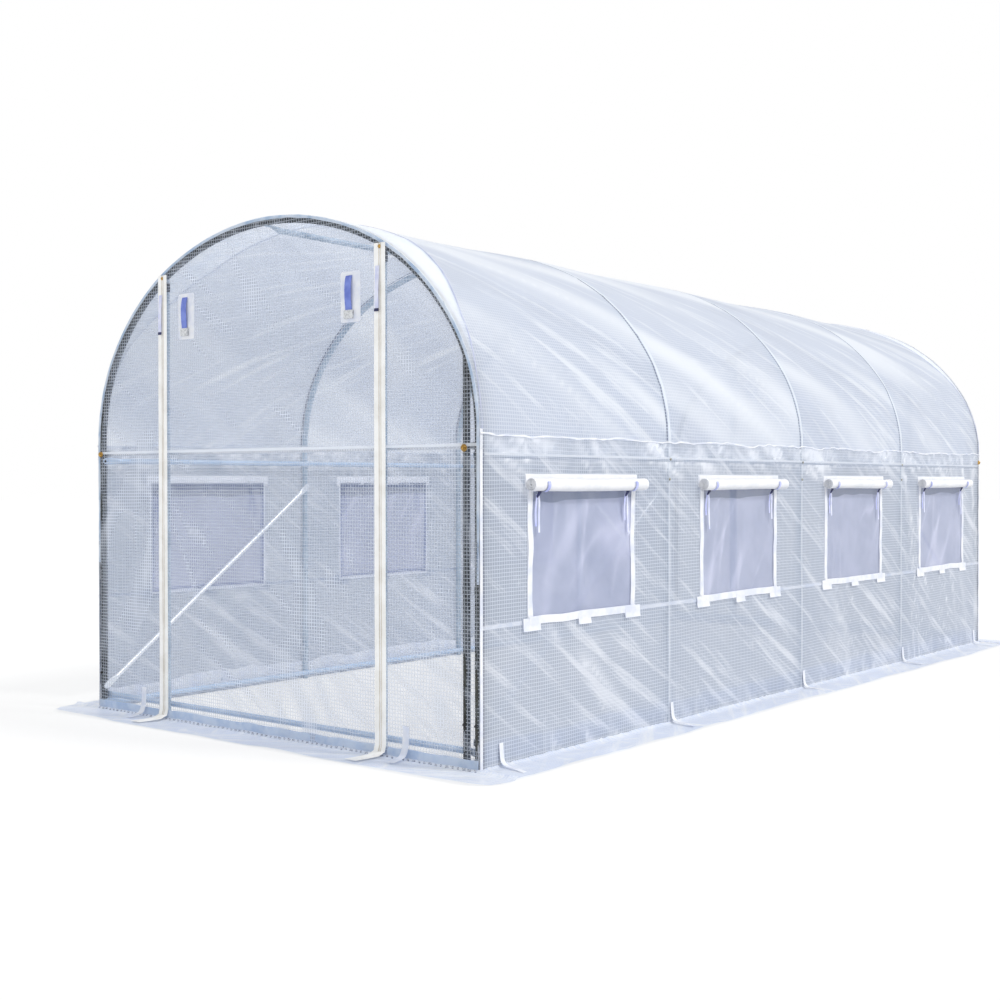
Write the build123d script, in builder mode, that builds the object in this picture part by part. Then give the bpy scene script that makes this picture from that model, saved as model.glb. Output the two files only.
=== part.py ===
import math
import os

from build123d import *

os.makedirs("parts", exist_ok=True)

# Polytunnel greenhouse. Millimetres, +Z up, X across, Y along the tunnel.
# The front gable looks along -Y. The origin is on the ground, in the middle.

# Frame
frame_width = 1985.0
frame_length = 4460.0
bay_count = 4
joint_height = 1025.0
spring_height = 1085.0
ridge_height = 1868.0
tube_radius = 12.5
rail_radius = 11.0
tube_sides = 12
arch_sides = 8

# Arch: three tangent bends on each side of the crown
shoulder_radius = 643.0
shoulder_turn = 34.0
flank_turn = 31.0

# Swaged joints of the legs
swage_height = 582.0
swage_length = 26.0
swage_swell = 1.0

# Flattened, drilled ends of the straight tubes
tab_thickness = 3.0
tab_width = 24.0
tab_length = 25.0
tab_corner = 8.0
neck_length = 32.0

# Heights and places of the straight tubes
rail_height = 30.0
end_rail_height = 58.0
purlin_height = 1012.0
crossbar_height = 1042.0
gable_bar_inset = 24.0
brace_foot_height = 95.0
brace_head_height = 905.0
door_half_width = 580.0
gable_post_x = 943.0

# Film
film = 2.0
film_gap = 13.5
seam_height = 1075.0
lap_drop = 22.0
lap_thickness = 1.5

# Windows
window_width = 612.0
window_bottom = 467.0
window_top = 912.0
tape_width = 26.0
tape_thickness = 1.5
header_width = 668.0
header_height = 40.0
corner_tab_width = 94.0
middle_tab_width = 74.0
window_tab_drop = 20.0
window_tab_reach = 303.0
roll_radius = 24.0
roll_sides = 20
roll_length = 740.0
roll_height = 917.0
tie_width = 20.0
tie_gauge = 2.0
tie_tail = 62.0
tie_spread = 265.0
tie_sides = 8

# Skirt
skirt_width = 155.0
skirt_corner = 110.0
strap_width = 22.0
strap_thickness = 1.5
side_strap_rise = 80.0
side_strap_reach = 110.0
end_strap_rise = 110.0
end_strap_reach = 80.0
end_strap_x = 700.0
corner_strap_inset = 90.0

# Zips
zip_tape = 45.0
coil_width = 7.0
coil_height = 3.0

# Ties that hold an open door: patch, strap and buckle
door_tie_x = 440.0
door_tie_z = 1558.0
patch_width = 95.0
patch_height = 174.0
patch_thickness = 1.5
door_strap_width = 30.0
door_strap_height = 160.0
door_strap_thickness = 2.0
buckle_width = 42.0
buckle_height = 34.0
buckle_thickness = 6.0
buckle_drop = 60.0

half_width = frame_width / 2
half_length = frame_length / 2
bay = frame_length / bay_count
hoop_places = [-half_length + bay * i for i in range(bay_count + 1)]
bay_middles = [-half_length + bay * (i + 0.5) for i in range(bay_count)]
wall_inner = half_width + film_gap
wall_outer = wall_inner + film
gable_inner = half_length + film_gap
gable_outer = gable_inner + film
tube_plane = half_width - tube_radius - tab_thickness / 2


def closing_radii():
    """Radii of the flank and crown bends that bring the arch to its ridge."""
    a = math.radians(shoulder_turn)
    b = math.radians(shoulder_turn + flank_turn)
    across = half_width - shoulder_radius * (1 - math.cos(a))
    up = ridge_height - spring_height - shoulder_radius * math.sin(a)
    m11 = math.cos(a) - math.cos(b)
    m12 = math.cos(b)
    m21 = math.sin(b) - math.sin(a)
    m22 = 1 - math.sin(b)
    det = m11 * m22 - m12 * m21
    flank = (across * m22 - m12 * up) / det
    crown = (m11 * up - across * m21) / det
    return flank, crown


flank_radius, crown_radius = closing_radii()
crown_turn = 2 * (90.0 - shoulder_turn - flank_turn)


def draw_arch(offset, foot):
    """Draw the hoop line from the right foot over the crown to the left foot."""
    side = half_width + offset
    right_leg = Line((side, foot), (side, spring_height))
    bend = right_leg
    turns = (
        (shoulder_radius, shoulder_turn),
        (flank_radius, flank_turn),
        (crown_radius, crown_turn),
        (flank_radius, flank_turn),
        (shoulder_radius, shoulder_turn),
    )
    for radius, turn in turns:
        bend = JernArc(bend @ 1, bend % 1, radius + offset, turn)
    Line(bend @ 1, (-side, foot))


def arch_height(x):
    """Height of the hoop's centre line at the distance x from the middle."""
    a = math.radians(shoulder_turn)
    b = math.radians(shoulder_turn + flank_turn)
    shoulder_end = half_width - shoulder_radius * (1 - math.cos(a))
    flank_end = shoulder_end - flank_radius * (math.cos(a) - math.cos(b))
    if abs(x) > shoulder_end:
        centre_x = half_width - shoulder_radius
        centre_z = spring_height
        radius = shoulder_radius
    elif abs(x) > flank_end:
        centre_x = shoulder_end - flank_radius * math.cos(a)
        centre_z = spring_height + (shoulder_radius - flank_radius) * math.sin(a)
        radius = flank_radius
    else:
        centre_x = 0.0
        centre_z = ridge_height - crown_radius
        radius = crown_radius
    return centre_z + math.sqrt(radius**2 - (abs(x) - centre_x) ** 2)


def tube_section(radius, sides=tube_sides, mode=Mode.ADD):
    """A round outline as a polygon with flats to the front, back and sides."""
    RegularPolygon(radius, sides, major_radius=False, rotation=180.0 / sides, mode=mode)


def flattened_tube(length, near_shift, far_shift):
    """A tube along +Z from bolt to bolt, its ends pressed flat square to X."""
    flat_near = tab_length
    flat_far = length - tab_length
    round_near = flat_near + neck_length
    round_far = flat_far - neck_length
    half_tab = tab_thickness / 2
    with BuildPart() as tube:
        with BuildSketch(Plane.XY.offset(flat_near)):
            tube_section(rail_radius)
        extrude(amount=flat_far - flat_near)
        with BuildSketch(Plane.XZ):
            with BuildLine():
                Polyline(
                    (near_shift - half_tab, flat_near),
                    (near_shift + half_tab, flat_near),
                    (rail_radius, round_near),
                    (rail_radius, round_far),
                    (far_shift + half_tab, flat_far),
                    (far_shift - half_tab, flat_far),
                    (-rail_radius, round_far),
                    (-rail_radius, round_near),
                    close=True,
                )
            make_face()
        extrude(amount=rail_radius, both=True, mode=Mode.INTERSECT)
        for bolt, inward, shift in ((0, 1, near_shift), (length, -1, far_shift)):
            tip = bolt - inward * tab_width / 2
            root = bolt + inward * tab_length
            with BuildSketch(Plane.YZ.offset(shift - half_tab)):
                with Locations((0, (tip + root) / 2)):
                    Rectangle(tab_width, abs(root - tip))
                corners = vertices().sort_by(Axis.Y)
                chamfer(corners[:2] if inward > 0 else corners[-2:], tab_corner)
            extrude(amount=tab_thickness)
    return tube.part


# The centre line of a hoop above its joints
with BuildLine() as arch_line:
    draw_arch(0, joint_height)

with BuildPart() as arch_tube:
    hoop_path = Plane.XZ * arch_line.wire()
    with BuildSketch(Plane(origin=hoop_path @ 0, x_dir=(1, 0, 0), z_dir=hoop_path % 0)):
        tube_section(tube_radius, arch_sides)
    sweep(path=hoop_path)

for number, place in enumerate(hoop_places, start=1):
    with BuildPart() as hoop:
        with Locations((0, place, 0)):
            add(arch_tube.part)
    hoop.part.label = f"hoop_{number}"
    export_step(hoop.part, f"parts/hoop_{number}.step")

# Legs: a plain tube with a swaged joint half way up
with BuildPart() as leg:
    with BuildSketch():
        tube_section(tube_radius)
    extrude(amount=joint_height)
    with BuildSketch(Plane.XY.offset(swage_height - swage_length / 2)):
        tube_section(tube_radius + swage_swell)
    extrude(amount=swage_length)

with BuildPart() as legs_left:
    with Locations(*[(-half_width, place, 0) for place in hoop_places]):
        add(leg.part)
legs_left.part.label = "legs_left"
export_step(legs_left.part, "parts/legs_left.step")

with BuildPart() as legs_right:
    with Locations(*[(half_width, place, 0) for place in hoop_places]):
        add(leg.part)
legs_right.part.label = "legs_right"
export_step(legs_right.part, "parts/legs_right.step")

# The extra upright beside the right front leg, coped to the arch
with BuildPart() as post_blank:
    with BuildSketch():
        with Locations((gable_post_x, -half_length)):
            tube_section(tube_radius)
    extrude(amount=arch_height(gable_post_x))
    with Locations((0, -half_length, 0)):
        add(arch_tube.part, mode=Mode.SUBTRACT)

with BuildPart() as gable_post:
    add(post_blank.solids().sort_by(Axis.Z)[0])
gable_post.part.label = "gable_post"
export_step(gable_post.part, "parts/gable_post.step")

# Door posts, coped to the arches above them
with BuildPart() as post_blanks:
    with BuildSketch():
        with GridLocations(2 * door_half_width, frame_length, 2, 2):
            tube_section(rail_radius)
    extrude(amount=arch_height(door_half_width))
    with Locations((0, -half_length, 0), (0, half_length, 0)):
        add(arch_tube.part, mode=Mode.SUBTRACT)

with BuildPart() as door_posts:
    for post in post_blanks.solids().sort_by(SortBy.VOLUME)[-4:]:
        add(post)
door_posts.part.label = "door_posts"
export_step(door_posts.part, "parts/door_posts.step")

# Long tubes along the walls: they pass inside the legs and are cranked out to the end legs
side_crank = rail_radius - tab_thickness / 2
long_tube = flattened_tube(frame_length, side_crank, side_crank)
side_tube_x = half_width - tube_radius - rail_radius


def side_run(height):
    """A long tube inside the right wall at one height."""
    spot = Plane(origin=(side_tube_x, -half_length, height), x_dir=(1, 0, 0), z_dir=(0, 1, 0))
    return spot * long_tube


with BuildPart() as purlins_right:
    add(side_run(purlin_height))
purlins_right.part.label = "purlins_right"
export_step(purlins_right.part, "parts/purlins_right.step")

with BuildPart() as purlins_left:
    add(side_run(purlin_height).mirror(Plane.YZ))
purlins_left.part.label = "purlins_left"
export_step(purlins_left.part, "parts/purlins_left.step")

with BuildPart() as ground_rails:
    add(side_run(rail_height))
    mirror(about=Plane.YZ)
ground_rails.part.label = "ground_rails"
export_step(ground_rails.part, "parts/ground_rails.step")

# Ridge purlin, just under the crowns
ridge_clearance = 0.15
with BuildPart() as ridge_purlin:
    spot = Plane(
        origin=(0, -half_length, ridge_height - tube_radius - rail_radius - ridge_clearance),
        x_dir=(0, 0, 1),
        z_dir=(0, 1, 0),
    )
    add(spot * long_tube)
ridge_purlin.part.label = "ridge_purlin"
export_step(ridge_purlin.part, "parts/ridge_purlin.step")

# Bars across the two gables, cranked inwards so that they clear the uprights
crank = gable_bar_inset - tube_radius - tab_thickness / 2
cross_tube = flattened_tube(frame_width, -crank, -crank)


def gable_bars(height):
    """The bars of both gables at one height, bolted inside the end legs."""
    spot = Plane(
        origin=(-half_width, -half_length + gable_bar_inset, height),
        x_dir=(0, 1, 0),
        z_dir=(1, 0, 0),
    )
    front_bar = spot * cross_tube
    return [front_bar, front_bar.mirror(Plane.XZ)]


with BuildPart() as crossbars:
    for bar in gable_bars(crossbar_height):
        add(bar)
crossbars.part.label = "crossbars"
export_step(crossbars.part, "parts/crossbars.step")

with BuildPart() as end_rails:
    for bar in gable_bars(end_rail_height):
        add(bar)
end_rails.part.label = "end_rails"
export_step(end_rails.part, "parts/end_rails.step")

# Diagonal braces in the end bays of both walls
brace_rise = brace_head_height - brace_foot_height
brace_length = math.hypot(bay, brace_rise)
brace_tube = flattened_tube(brace_length, 0, 0)
with BuildPart() as braces:
    brace_spot = Plane(
        origin=(tube_plane, -half_length, brace_foot_height),
        x_dir=(1, 0, 0),
        z_dir=(0, bay, brace_rise),
    )
    first_brace = brace_spot * brace_tube
    for brace in (first_brace, first_brace.mirror(Plane.XZ)):
        add(brace)
        add(brace.mirror(Plane.YZ))
braces.part.label = "braces"
export_step(braces.part, "parts/braces.step")

# Roof film: one curved sheet over the hoops, lapped over the side walls
with BuildPart() as roof_cover:
    with BuildSketch(Plane.XZ.offset(gable_outer)):
        with BuildLine():
            draw_arch(film_gap + film, seam_height)
            Line((-wall_outer, seam_height), (wall_outer, seam_height))
        make_face()
        with BuildLine():
            draw_arch(film_gap, seam_height)
            Line((-wall_inner, seam_height), (wall_inner, seam_height))
        make_face(mode=Mode.SUBTRACT)
        lap_x = wall_outer + lap_thickness / 2
        with Locations((lap_x, seam_height), (-lap_x, seam_height)):
            Rectangle(lap_thickness, 2 * lap_drop)
    extrude(amount=-2 * gable_outer)
roof_cover.part.label = "roof_cover"
export_step(roof_cover.part, "parts/roof_cover.step")

# Side walls with the windows cut through
with BuildPart() as side_wall_right:
    with BuildSketch(Plane.YZ.offset(wall_inner)):
        with Locations((0, seam_height / 2)):
            Rectangle(2 * gable_outer, seam_height)
        with Locations(*[(y, (window_bottom + window_top) / 2) for y in bay_middles]):
            Rectangle(window_width, window_top - window_bottom, mode=Mode.SUBTRACT)
    extrude(amount=film)
side_wall_right.part.label = "side_wall_right"
export_step(side_wall_right.part, "parts/side_wall_right.step")

with BuildPart() as side_wall_left:
    add(side_wall_right.part)
    mirror(about=Plane.YZ, mode=Mode.REPLACE)
side_wall_left.part.label = "side_wall_left"
export_step(side_wall_left.part, "parts/side_wall_left.step")

# Insect screens, set in the window openings
with BuildPart() as screens_right:
    with BuildSketch(Plane.YZ.offset(wall_inner)):
        with Locations(*[(y, (window_bottom + window_top) / 2) for y in bay_middles]):
            Rectangle(window_width, window_top - window_bottom)
    extrude(amount=film)
screens_right.part.label = "screens_right"
export_step(screens_right.part, "parts/screens_right.step")

with BuildPart() as screens_left:
    add(screens_right.part)
    mirror(about=Plane.YZ, mode=Mode.REPLACE)
screens_left.part.label = "screens_left"
export_step(screens_left.part, "parts/screens_left.step")

# Window borders: tapes round each screen, a header strip and three tabs below
with BuildPart() as borders_right:
    with BuildSketch(Plane.YZ.offset(wall_outer)):
        low = window_bottom - tape_width / 2
        for y in bay_middles:
            with Locations((y, (low + window_top) / 2)):
                Rectangle(window_width + tape_width, window_top - low)
            with Locations((y, window_top + header_height / 2)):
                Rectangle(header_width, header_height)
            with Locations((y, (window_bottom + window_top + tape_width / 2) / 2)):
                Rectangle(
                    window_width - tape_width,
                    window_top - window_bottom - tape_width / 2,
                    mode=Mode.SUBTRACT,
                )
            for shift, tab in (
                (-window_tab_reach, corner_tab_width),
                (0, middle_tab_width),
                (window_tab_reach, corner_tab_width),
            ):
                with Locations((y + shift, low - window_tab_drop / 2)):
                    Rectangle(tab, window_tab_drop)
    extrude(amount=tape_thickness)
borders_right.part.label = "borders_right"
export_step(borders_right.part, "parts/borders_right.step")

with BuildPart() as borders_left:
    add(borders_right.part)
    mirror(about=Plane.YZ, mode=Mode.REPLACE)
borders_left.part.label = "borders_left"
export_step(borders_left.part, "parts/borders_left.step")

# Rolled-up window flaps under their headers
roll_x = wall_outer + tape_thickness + tie_gauge + roll_radius
with BuildPart() as rolls_right:
    for y in bay_middles:
        with BuildSketch(Plane.XZ.offset(-(y - roll_length / 2))):
            with Locations((roll_x, roll_height)):
                RegularPolygon(roll_radius, roll_sides)
        extrude(amount=-roll_length)
rolls_right.part.label = "rolls_right"
export_step(rolls_right.part, "parts/rolls_right.step")

with BuildPart() as rolls_left:
    add(rolls_right.part)
    mirror(about=Plane.YZ, mode=Mode.REPLACE)
rolls_left.part.label = "rolls_left"
export_step(rolls_left.part, "parts/rolls_left.step")

# Bands that tie the rolls up, with a hanging tail
with BuildPart() as ties_right:
    for y in bay_middles:
        for shift in (-tie_spread, tie_spread):
            with BuildSketch(Plane.XZ.offset(-(y + shift - tie_width / 2))):
                with Locations((roll_x, roll_height)):
                    tube_section(roll_radius + tie_gauge, tie_sides)
                tail_x = roll_x + roll_radius + tie_gauge / 2
                with Locations((tail_x, roll_height - tie_tail / 2)):
                    Rectangle(tie_gauge, tie_tail)
                with Locations((roll_x, roll_height)):
                    tube_section(roll_radius, tie_sides, Mode.SUBTRACT)
            extrude(amount=-tie_width)
ties_right.part.label = "ties_right"
export_step(ties_right.part, "parts/ties_right.step")

with BuildPart() as ties_left:
    add(ties_right.part)
    mirror(about=Plane.YZ, mode=Mode.REPLACE)
ties_left.part.label = "ties_left"
export_step(ties_left.part, "parts/ties_left.step")


def gable_plate(x_low, x_high):
    """The part of a gable's film between two upright lines."""
    with BuildPart() as plate:
        with BuildSketch(Plane.XZ.offset(gable_inner)):
            with BuildLine():
                draw_arch(film_gap, 0)
                Line((-wall_inner, 0), (wall_inner, 0))
            make_face()
            with Locations(((x_low + x_high) / 2, ridge_height / 2)):
                Rectangle(x_high - x_low, 2 * ridge_height, mode=Mode.INTERSECT)
        extrude(amount=film)
    return plate.part


left_panel = gable_plate(-wall_inner, -door_half_width)
right_panel = gable_plate(door_half_width, wall_inner)
door_panel = gable_plate(-door_half_width, door_half_width)

with BuildPart() as gable_front_left:
    add(left_panel)
gable_front_left.part.label = "gable_front_left"
export_step(gable_front_left.part, "parts/gable_front_left.step")

with BuildPart() as gable_front_right:
    add(right_panel)
gable_front_right.part.label = "gable_front_right"
export_step(gable_front_right.part, "parts/gable_front_right.step")

with BuildPart() as door_front:
    add(door_panel)
door_front.part.label = "door_front"
export_step(door_front.part, "parts/door_front.step")

with BuildPart() as gable_back:
    add(left_panel)
    add(right_panel)
    mirror(about=Plane.XZ, mode=Mode.REPLACE)
gable_back.part.label = "gable_back"
export_step(gable_back.part, "parts/gable_back.step")

with BuildPart() as door_back:
    add(door_panel)
    mirror(about=Plane.XZ, mode=Mode.REPLACE)
door_back.part.label = "door_back"
export_step(door_back.part, "parts/door_back.step")

# Zips over the joints between door and side panels: tapes with a coil between
with BuildPart() as zip_pair:
    for x in (-door_half_width, door_half_width):
        with BuildSketch(Plane.XY.offset(film)):
            with Locations((x, -gable_outer - tape_thickness / 2)):
                Rectangle(zip_tape, tape_thickness)
            with Locations((x, -gable_outer - coil_height / 2)):
                Rectangle(coil_width, coil_height)
        extrude(amount=arch_height(x) - film)
with BuildPart() as zips:
    add(zip_pair.part)
    mirror(about=Plane.XZ)
zips.part.label = "zips"
export_step(zips.part, "parts/zips.step")

# Ties that hold an open door: a backing patch, a strap and a buckle
with BuildPart() as door_tie_pair:
    for x in (-door_tie_x, door_tie_x):
        with BuildSketch(Plane.XZ.offset(gable_outer)):
            with Locations((x, door_tie_z)):
                Rectangle(patch_width, patch_height)
        extrude(amount=patch_thickness)
        patch_face = gable_outer + patch_thickness
        with BuildSketch(Plane.XZ.offset(patch_face)):
            with Locations((x, door_tie_z)):
                Rectangle(door_strap_width, door_strap_height)
        extrude(amount=door_strap_thickness)
        with BuildSketch(Plane.XZ.offset(patch_face + door_strap_thickness)):
            with Locations((x, door_tie_z - buckle_drop)):
                Rectangle(buckle_width, buckle_height)
        extrude(amount=buckle_thickness)
with BuildPart() as door_ties:
    add(door_tie_pair.part)
    mirror(about=Plane.XZ)
door_ties.part.label = "door_ties"
export_step(door_ties.part, "parts/door_ties.step")

# White tapes down the four upright edges of the side walls
edge_tape = 14.0
with BuildPart() as edge_tapes:
    with BuildSketch(Plane.XY.offset(film)):
        spread_x = 2 * wall_outer + tape_thickness
        spread_y = 2 * gable_outer - edge_tape
        with GridLocations(spread_x, spread_y, 2, 2):
            Rectangle(tape_thickness, edge_tape)
    extrude(amount=seam_height - lap_drop - film)
edge_tapes.part.label = "edge_tapes"
export_step(edge_tapes.part, "parts/edge_tapes.step")

# Skirt on the ground, in four strips
with BuildPart() as skirt_right:
    with BuildSketch():
        with Locations((wall_outer + skirt_width / 2, 0)):
            Rectangle(skirt_width, 2 * gable_outer)
    extrude(amount=film)
skirt_right.part.label = "skirt_right"
export_step(skirt_right.part, "parts/skirt_right.step")

with BuildPart() as skirt_left:
    add(skirt_right.part)
    mirror(about=Plane.YZ, mode=Mode.REPLACE)
skirt_left.part.label = "skirt_left"
export_step(skirt_left.part, "parts/skirt_left.step")

with BuildPart() as skirt_front:
    with BuildSketch():
        with Locations((0, -gable_outer - skirt_width / 2)):
            Rectangle(2 * (wall_outer + skirt_width), skirt_width)
    extrude(amount=film)
    corners = skirt_front.edges().filter_by(Axis.Z).group_by(Axis.Y)[0]
    fillet(corners, skirt_corner)
skirt_front.part.label = "skirt_front"
export_step(skirt_front.part, "parts/skirt_front.step")

with BuildPart() as skirt_back:
    add(skirt_front.part)
    mirror(about=Plane.XZ, mode=Mode.REPLACE)
skirt_back.part.label = "skirt_back"
export_step(skirt_back.part, "parts/skirt_back.step")

# Straps that hold the skirt: up the wall or the gable, then out over the skirt

def strap_outline(rise, reach):
    """A bent strap from the side, as distances out from the film and heights."""
    return [
        (0, film),
        (reach, film),
        (reach, film + strap_thickness),
        (strap_thickness, film + strap_thickness),
        (strap_thickness, film + rise),
        (0, film + rise),
    ]


side_strap_places = [
    hoop_places[0] + corner_strap_inset,
    *hoop_places[1:-1],
    hoop_places[-1] - corner_strap_inset,
]
with BuildPart() as side_straps:
    for place in side_strap_places:
        with BuildSketch(Plane.XZ.offset(-(place - strap_width / 2))):
            with BuildLine():
                outline = strap_outline(side_strap_rise, side_strap_reach)
                Polyline(*[(wall_outer + out, up) for out, up in outline], close=True)
            make_face()
        extrude(amount=-strap_width)

with BuildPart() as end_straps:
    for place in (-end_strap_x, end_strap_x):
        with BuildSketch(Plane.YZ.offset(place - strap_width / 2)):
            with BuildLine():
                outline = strap_outline(end_strap_rise, end_strap_reach)
                Polyline(*[(gable_outer + out, up) for out, up in outline], close=True)
            make_face()
        extrude(amount=strap_width)

with BuildPart() as skirt_straps:
    add(side_straps.part)
    mirror(about=Plane.YZ)
    add(end_straps.part)
    add(end_straps.part.mirror(Plane.XZ))
skirt_straps.part.label = "skirt_straps"
export_step(skirt_straps.part, "parts/skirt_straps.step")

# Clamps where the door posts meet the arches
clamp_height = 34.0
clamp_gauge = 2.5
clamp_top = arch_height(door_half_width) - 24.0
with BuildPart() as post_clamps:
    with BuildSketch(Plane.XY.offset(clamp_top - clamp_height)):
        with GridLocations(2 * door_half_width, frame_length, 2, 2):
            tube_section(rail_radius + clamp_gauge)
            tube_section(rail_radius, mode=Mode.SUBTRACT)
    extrude(amount=clamp_height)
post_clamps.part.label = "post_clamps"
export_step(post_clamps.part, "parts/post_clamps.step")
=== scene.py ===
import math

import bmesh
import bpy
import numpy as np
from mathutils import Matrix, Vector


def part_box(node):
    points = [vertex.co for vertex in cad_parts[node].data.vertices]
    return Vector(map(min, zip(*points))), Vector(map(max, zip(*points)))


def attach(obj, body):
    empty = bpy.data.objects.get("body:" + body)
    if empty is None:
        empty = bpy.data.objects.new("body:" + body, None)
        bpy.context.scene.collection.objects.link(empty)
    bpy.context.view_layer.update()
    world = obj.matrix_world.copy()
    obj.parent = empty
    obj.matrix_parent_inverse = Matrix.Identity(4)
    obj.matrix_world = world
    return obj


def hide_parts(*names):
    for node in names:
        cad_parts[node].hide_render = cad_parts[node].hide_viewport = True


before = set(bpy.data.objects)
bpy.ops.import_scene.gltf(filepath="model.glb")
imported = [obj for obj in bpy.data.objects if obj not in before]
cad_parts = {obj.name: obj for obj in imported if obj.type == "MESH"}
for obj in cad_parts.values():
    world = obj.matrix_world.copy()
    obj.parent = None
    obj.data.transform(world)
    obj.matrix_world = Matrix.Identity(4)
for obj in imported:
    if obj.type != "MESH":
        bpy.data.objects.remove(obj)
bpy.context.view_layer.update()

# Polytunnel greenhouse, in metres. X across, Y along the tunnel, front door towards -Y.
# Colours are given from 0 to 255. Seeds fix every random draw.

# Frame
tube_radius = 0.0125
rail_radius = 0.011
sleeve_radius = 0.0135
leg_low, leg_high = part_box("legs_right")
bay_count = 4
half_width = (leg_low.x + leg_high.x) / 2
half_length = (leg_high.y - leg_low.y) / 2 - sleeve_radius
front, back = -half_length, half_length
bay = 2 * half_length / bay_count
hoop_places = [front + bay * i for i in range(bay_count + 1)]
inner_places = hoop_places[1:-1]
bay_middles = [front + bay * (i + 0.5) for i in range(bay_count)]
joint_height = 1.025
spring_height = 1.085
ridge_height = 1.868
shoulder_radius = 0.643
shoulder_turn = math.radians(34.0)
flank_turn = math.radians(31.0)
swage_height = 0.582
purlin_height = 1.012
crossbar_height = 1.042
ground_rail_height = 0.030
end_rail_height = 0.058
brace_low = 0.095
brace_high = 0.905
pressed_half_gauge = 0.0015
door_x = 0.580
gable_post_x = 0.943

# Film
film_out = 0.0148
wall_x = half_width + film_out
gable_y = half_length + film_out
seam_height = 1.075
weld_height = 0.461
grid_pitch = 0.0125
wall_seeds = {"left": 211, "right": 101}

# Windows
window_half = 0.306
window_bottom = 0.467
window_top = 0.912
header_top = 0.952
header_half = 0.334
tape_width = 0.026
screen_lap = 0.006
roll_radius = 0.0235
roll_half = 0.342
roll_shift = 0.005
roll_height = 0.917
header_lift = 0.0022
roll_out = header_lift + roll_radius
tie_spread = 0.265
door_tie_x = 0.440
door_tie_height = 1.558

# Skirt
skirt_width = 0.155
skirt_corner = 0.110
skirt_seams = [place + 0.035 for place in inner_places]
skirt_stitches = skirt_width - np.array([0.018, 0.015, 0.012, 0.009])

# Places beside a tube, a rail or a seam where the marks on the film change: painted shade on a tube's dark
# side, a painted highlight on its lit side, and painted shade in each skirt seam's slit
hoop_light_marks = np.array([-0.016, -0.013, -0.006, -0.002, 0.002, 0.013, 0.019])
end_tube_shade_marks = np.array([0.015, 0.017, 0.024, 0.026])
purlin_light_marks = np.array([-0.010, -0.008, -0.003, 0.000, 0.006, 0.008])
bar_light_marks = np.array([-0.012, -0.010, -0.005, -0.002, 0.007, 0.009])
slit_shade_marks = np.array([-0.0125, -0.009, -0.003, 0.0, 0.003, 0.012, 0.016])

# Camera, fitted to the photograph
camera_place = Vector((3.755, -5.5702, 0.925))
camera_yaw = math.radians(38.698)
camera_pitch = math.radians(-0.745)
camera_roll = math.radians(-0.040)
camera_lens = 49.16
sensor_width = 36.0

sides = (("left", -1), ("right", 1))
ends = (("front", -1), ("back", 1))


# Arch geometry

def closing_radii():
    """Radii of the flank and crown bends that bring the arch to its ridge."""
    a = shoulder_turn
    b = shoulder_turn + flank_turn
    across = half_width - shoulder_radius * (1 - math.cos(a))
    up = ridge_height - spring_height - shoulder_radius * math.sin(a)
    system = np.array([[math.cos(a) - math.cos(b), math.cos(b)],
                       [math.sin(b) - math.sin(a), 1 - math.sin(b)]])
    return np.linalg.solve(system, [across, up])


flank_radius, crown_radius = closing_radii()


def arch_line(foot, step=0.021):
    """Points of the hoop line from the right foot to the left foot, and their outward directions."""
    count = max(2, math.ceil((spring_height - foot) / step))
    rise = np.linspace(foot, spring_height, count, endpoint=False)
    points = [(half_width, z) for z in rise]
    outs = [(1.0, 0.0)] * count
    place = np.array([half_width, spring_height])
    heading = math.pi / 2
    shoulder, flank = (shoulder_radius, shoulder_turn), (flank_radius, flank_turn)
    crown = (crown_radius, math.pi - 2 * (shoulder_turn + flank_turn))
    for radius, turn in (shoulder, flank, crown, flank, shoulder):
        centre = place - radius * np.array([math.sin(heading), -math.cos(heading)])
        count = math.ceil(radius * turn / step)
        for angle in np.linspace(heading, heading + turn, count, endpoint=False):
            out = np.array([math.sin(angle), -math.cos(angle)])
            points.append(tuple(centre + radius * out))
            outs.append(tuple(out))
        heading += turn
        place = centre + radius * np.array([math.sin(heading), -math.cos(heading)])
    points += [(-half_width, z) for z in [spring_height, *rise[::-1]]]
    outs += [(-1.0, 0.0)] * (len(rise) + 1)
    return np.array(points), np.array(outs)


def arch_height(x, offset=0.0):
    """Height of the arch, or of a line outside it by the offset, at the distance x from the middle."""
    line, out = arch_line(joint_height, 0.004)
    line = line + out * offset
    right = line[:, 0] >= 0
    order = np.argsort(line[right, 0])
    return np.interp(np.abs(x), line[right, 0][order], line[right, 1][order])


# Small helpers

def join(*parts):
    """Places from separate coordinates, each an array or one number."""
    return np.stack(np.broadcast_arrays(*parts), axis=-1)


def limited(values):
    return np.clip(values, 0, 1)


def merged(*parts):
    """All places in order, each once."""
    return np.unique(np.round(np.concatenate(parts), 4))


def run(path):
    """Length along a path up to each of its points."""
    return np.concatenate([[0], np.cumsum(np.linalg.norm(np.diff(path, axis=0), axis=1))])


def around(line, out, offset, y):
    """Places at an offset outside the arch line, at the given y."""
    offset, y = np.broadcast_arrays(offset, y)
    wide = (slice(None),) + (None,) * (y.ndim - 1)
    x, z = (line[:, k][wide] + out[:, k][wide] * offset for k in (0, 1))
    return join(x, y, z)


def unit(rows):
    rows = np.asarray(rows, float)
    return rows / np.maximum(np.linalg.norm(rows, axis=-1, keepdims=True), 1e-9)


def tangents(path):
    return unit(np.gradient(path, axis=0))


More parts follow.
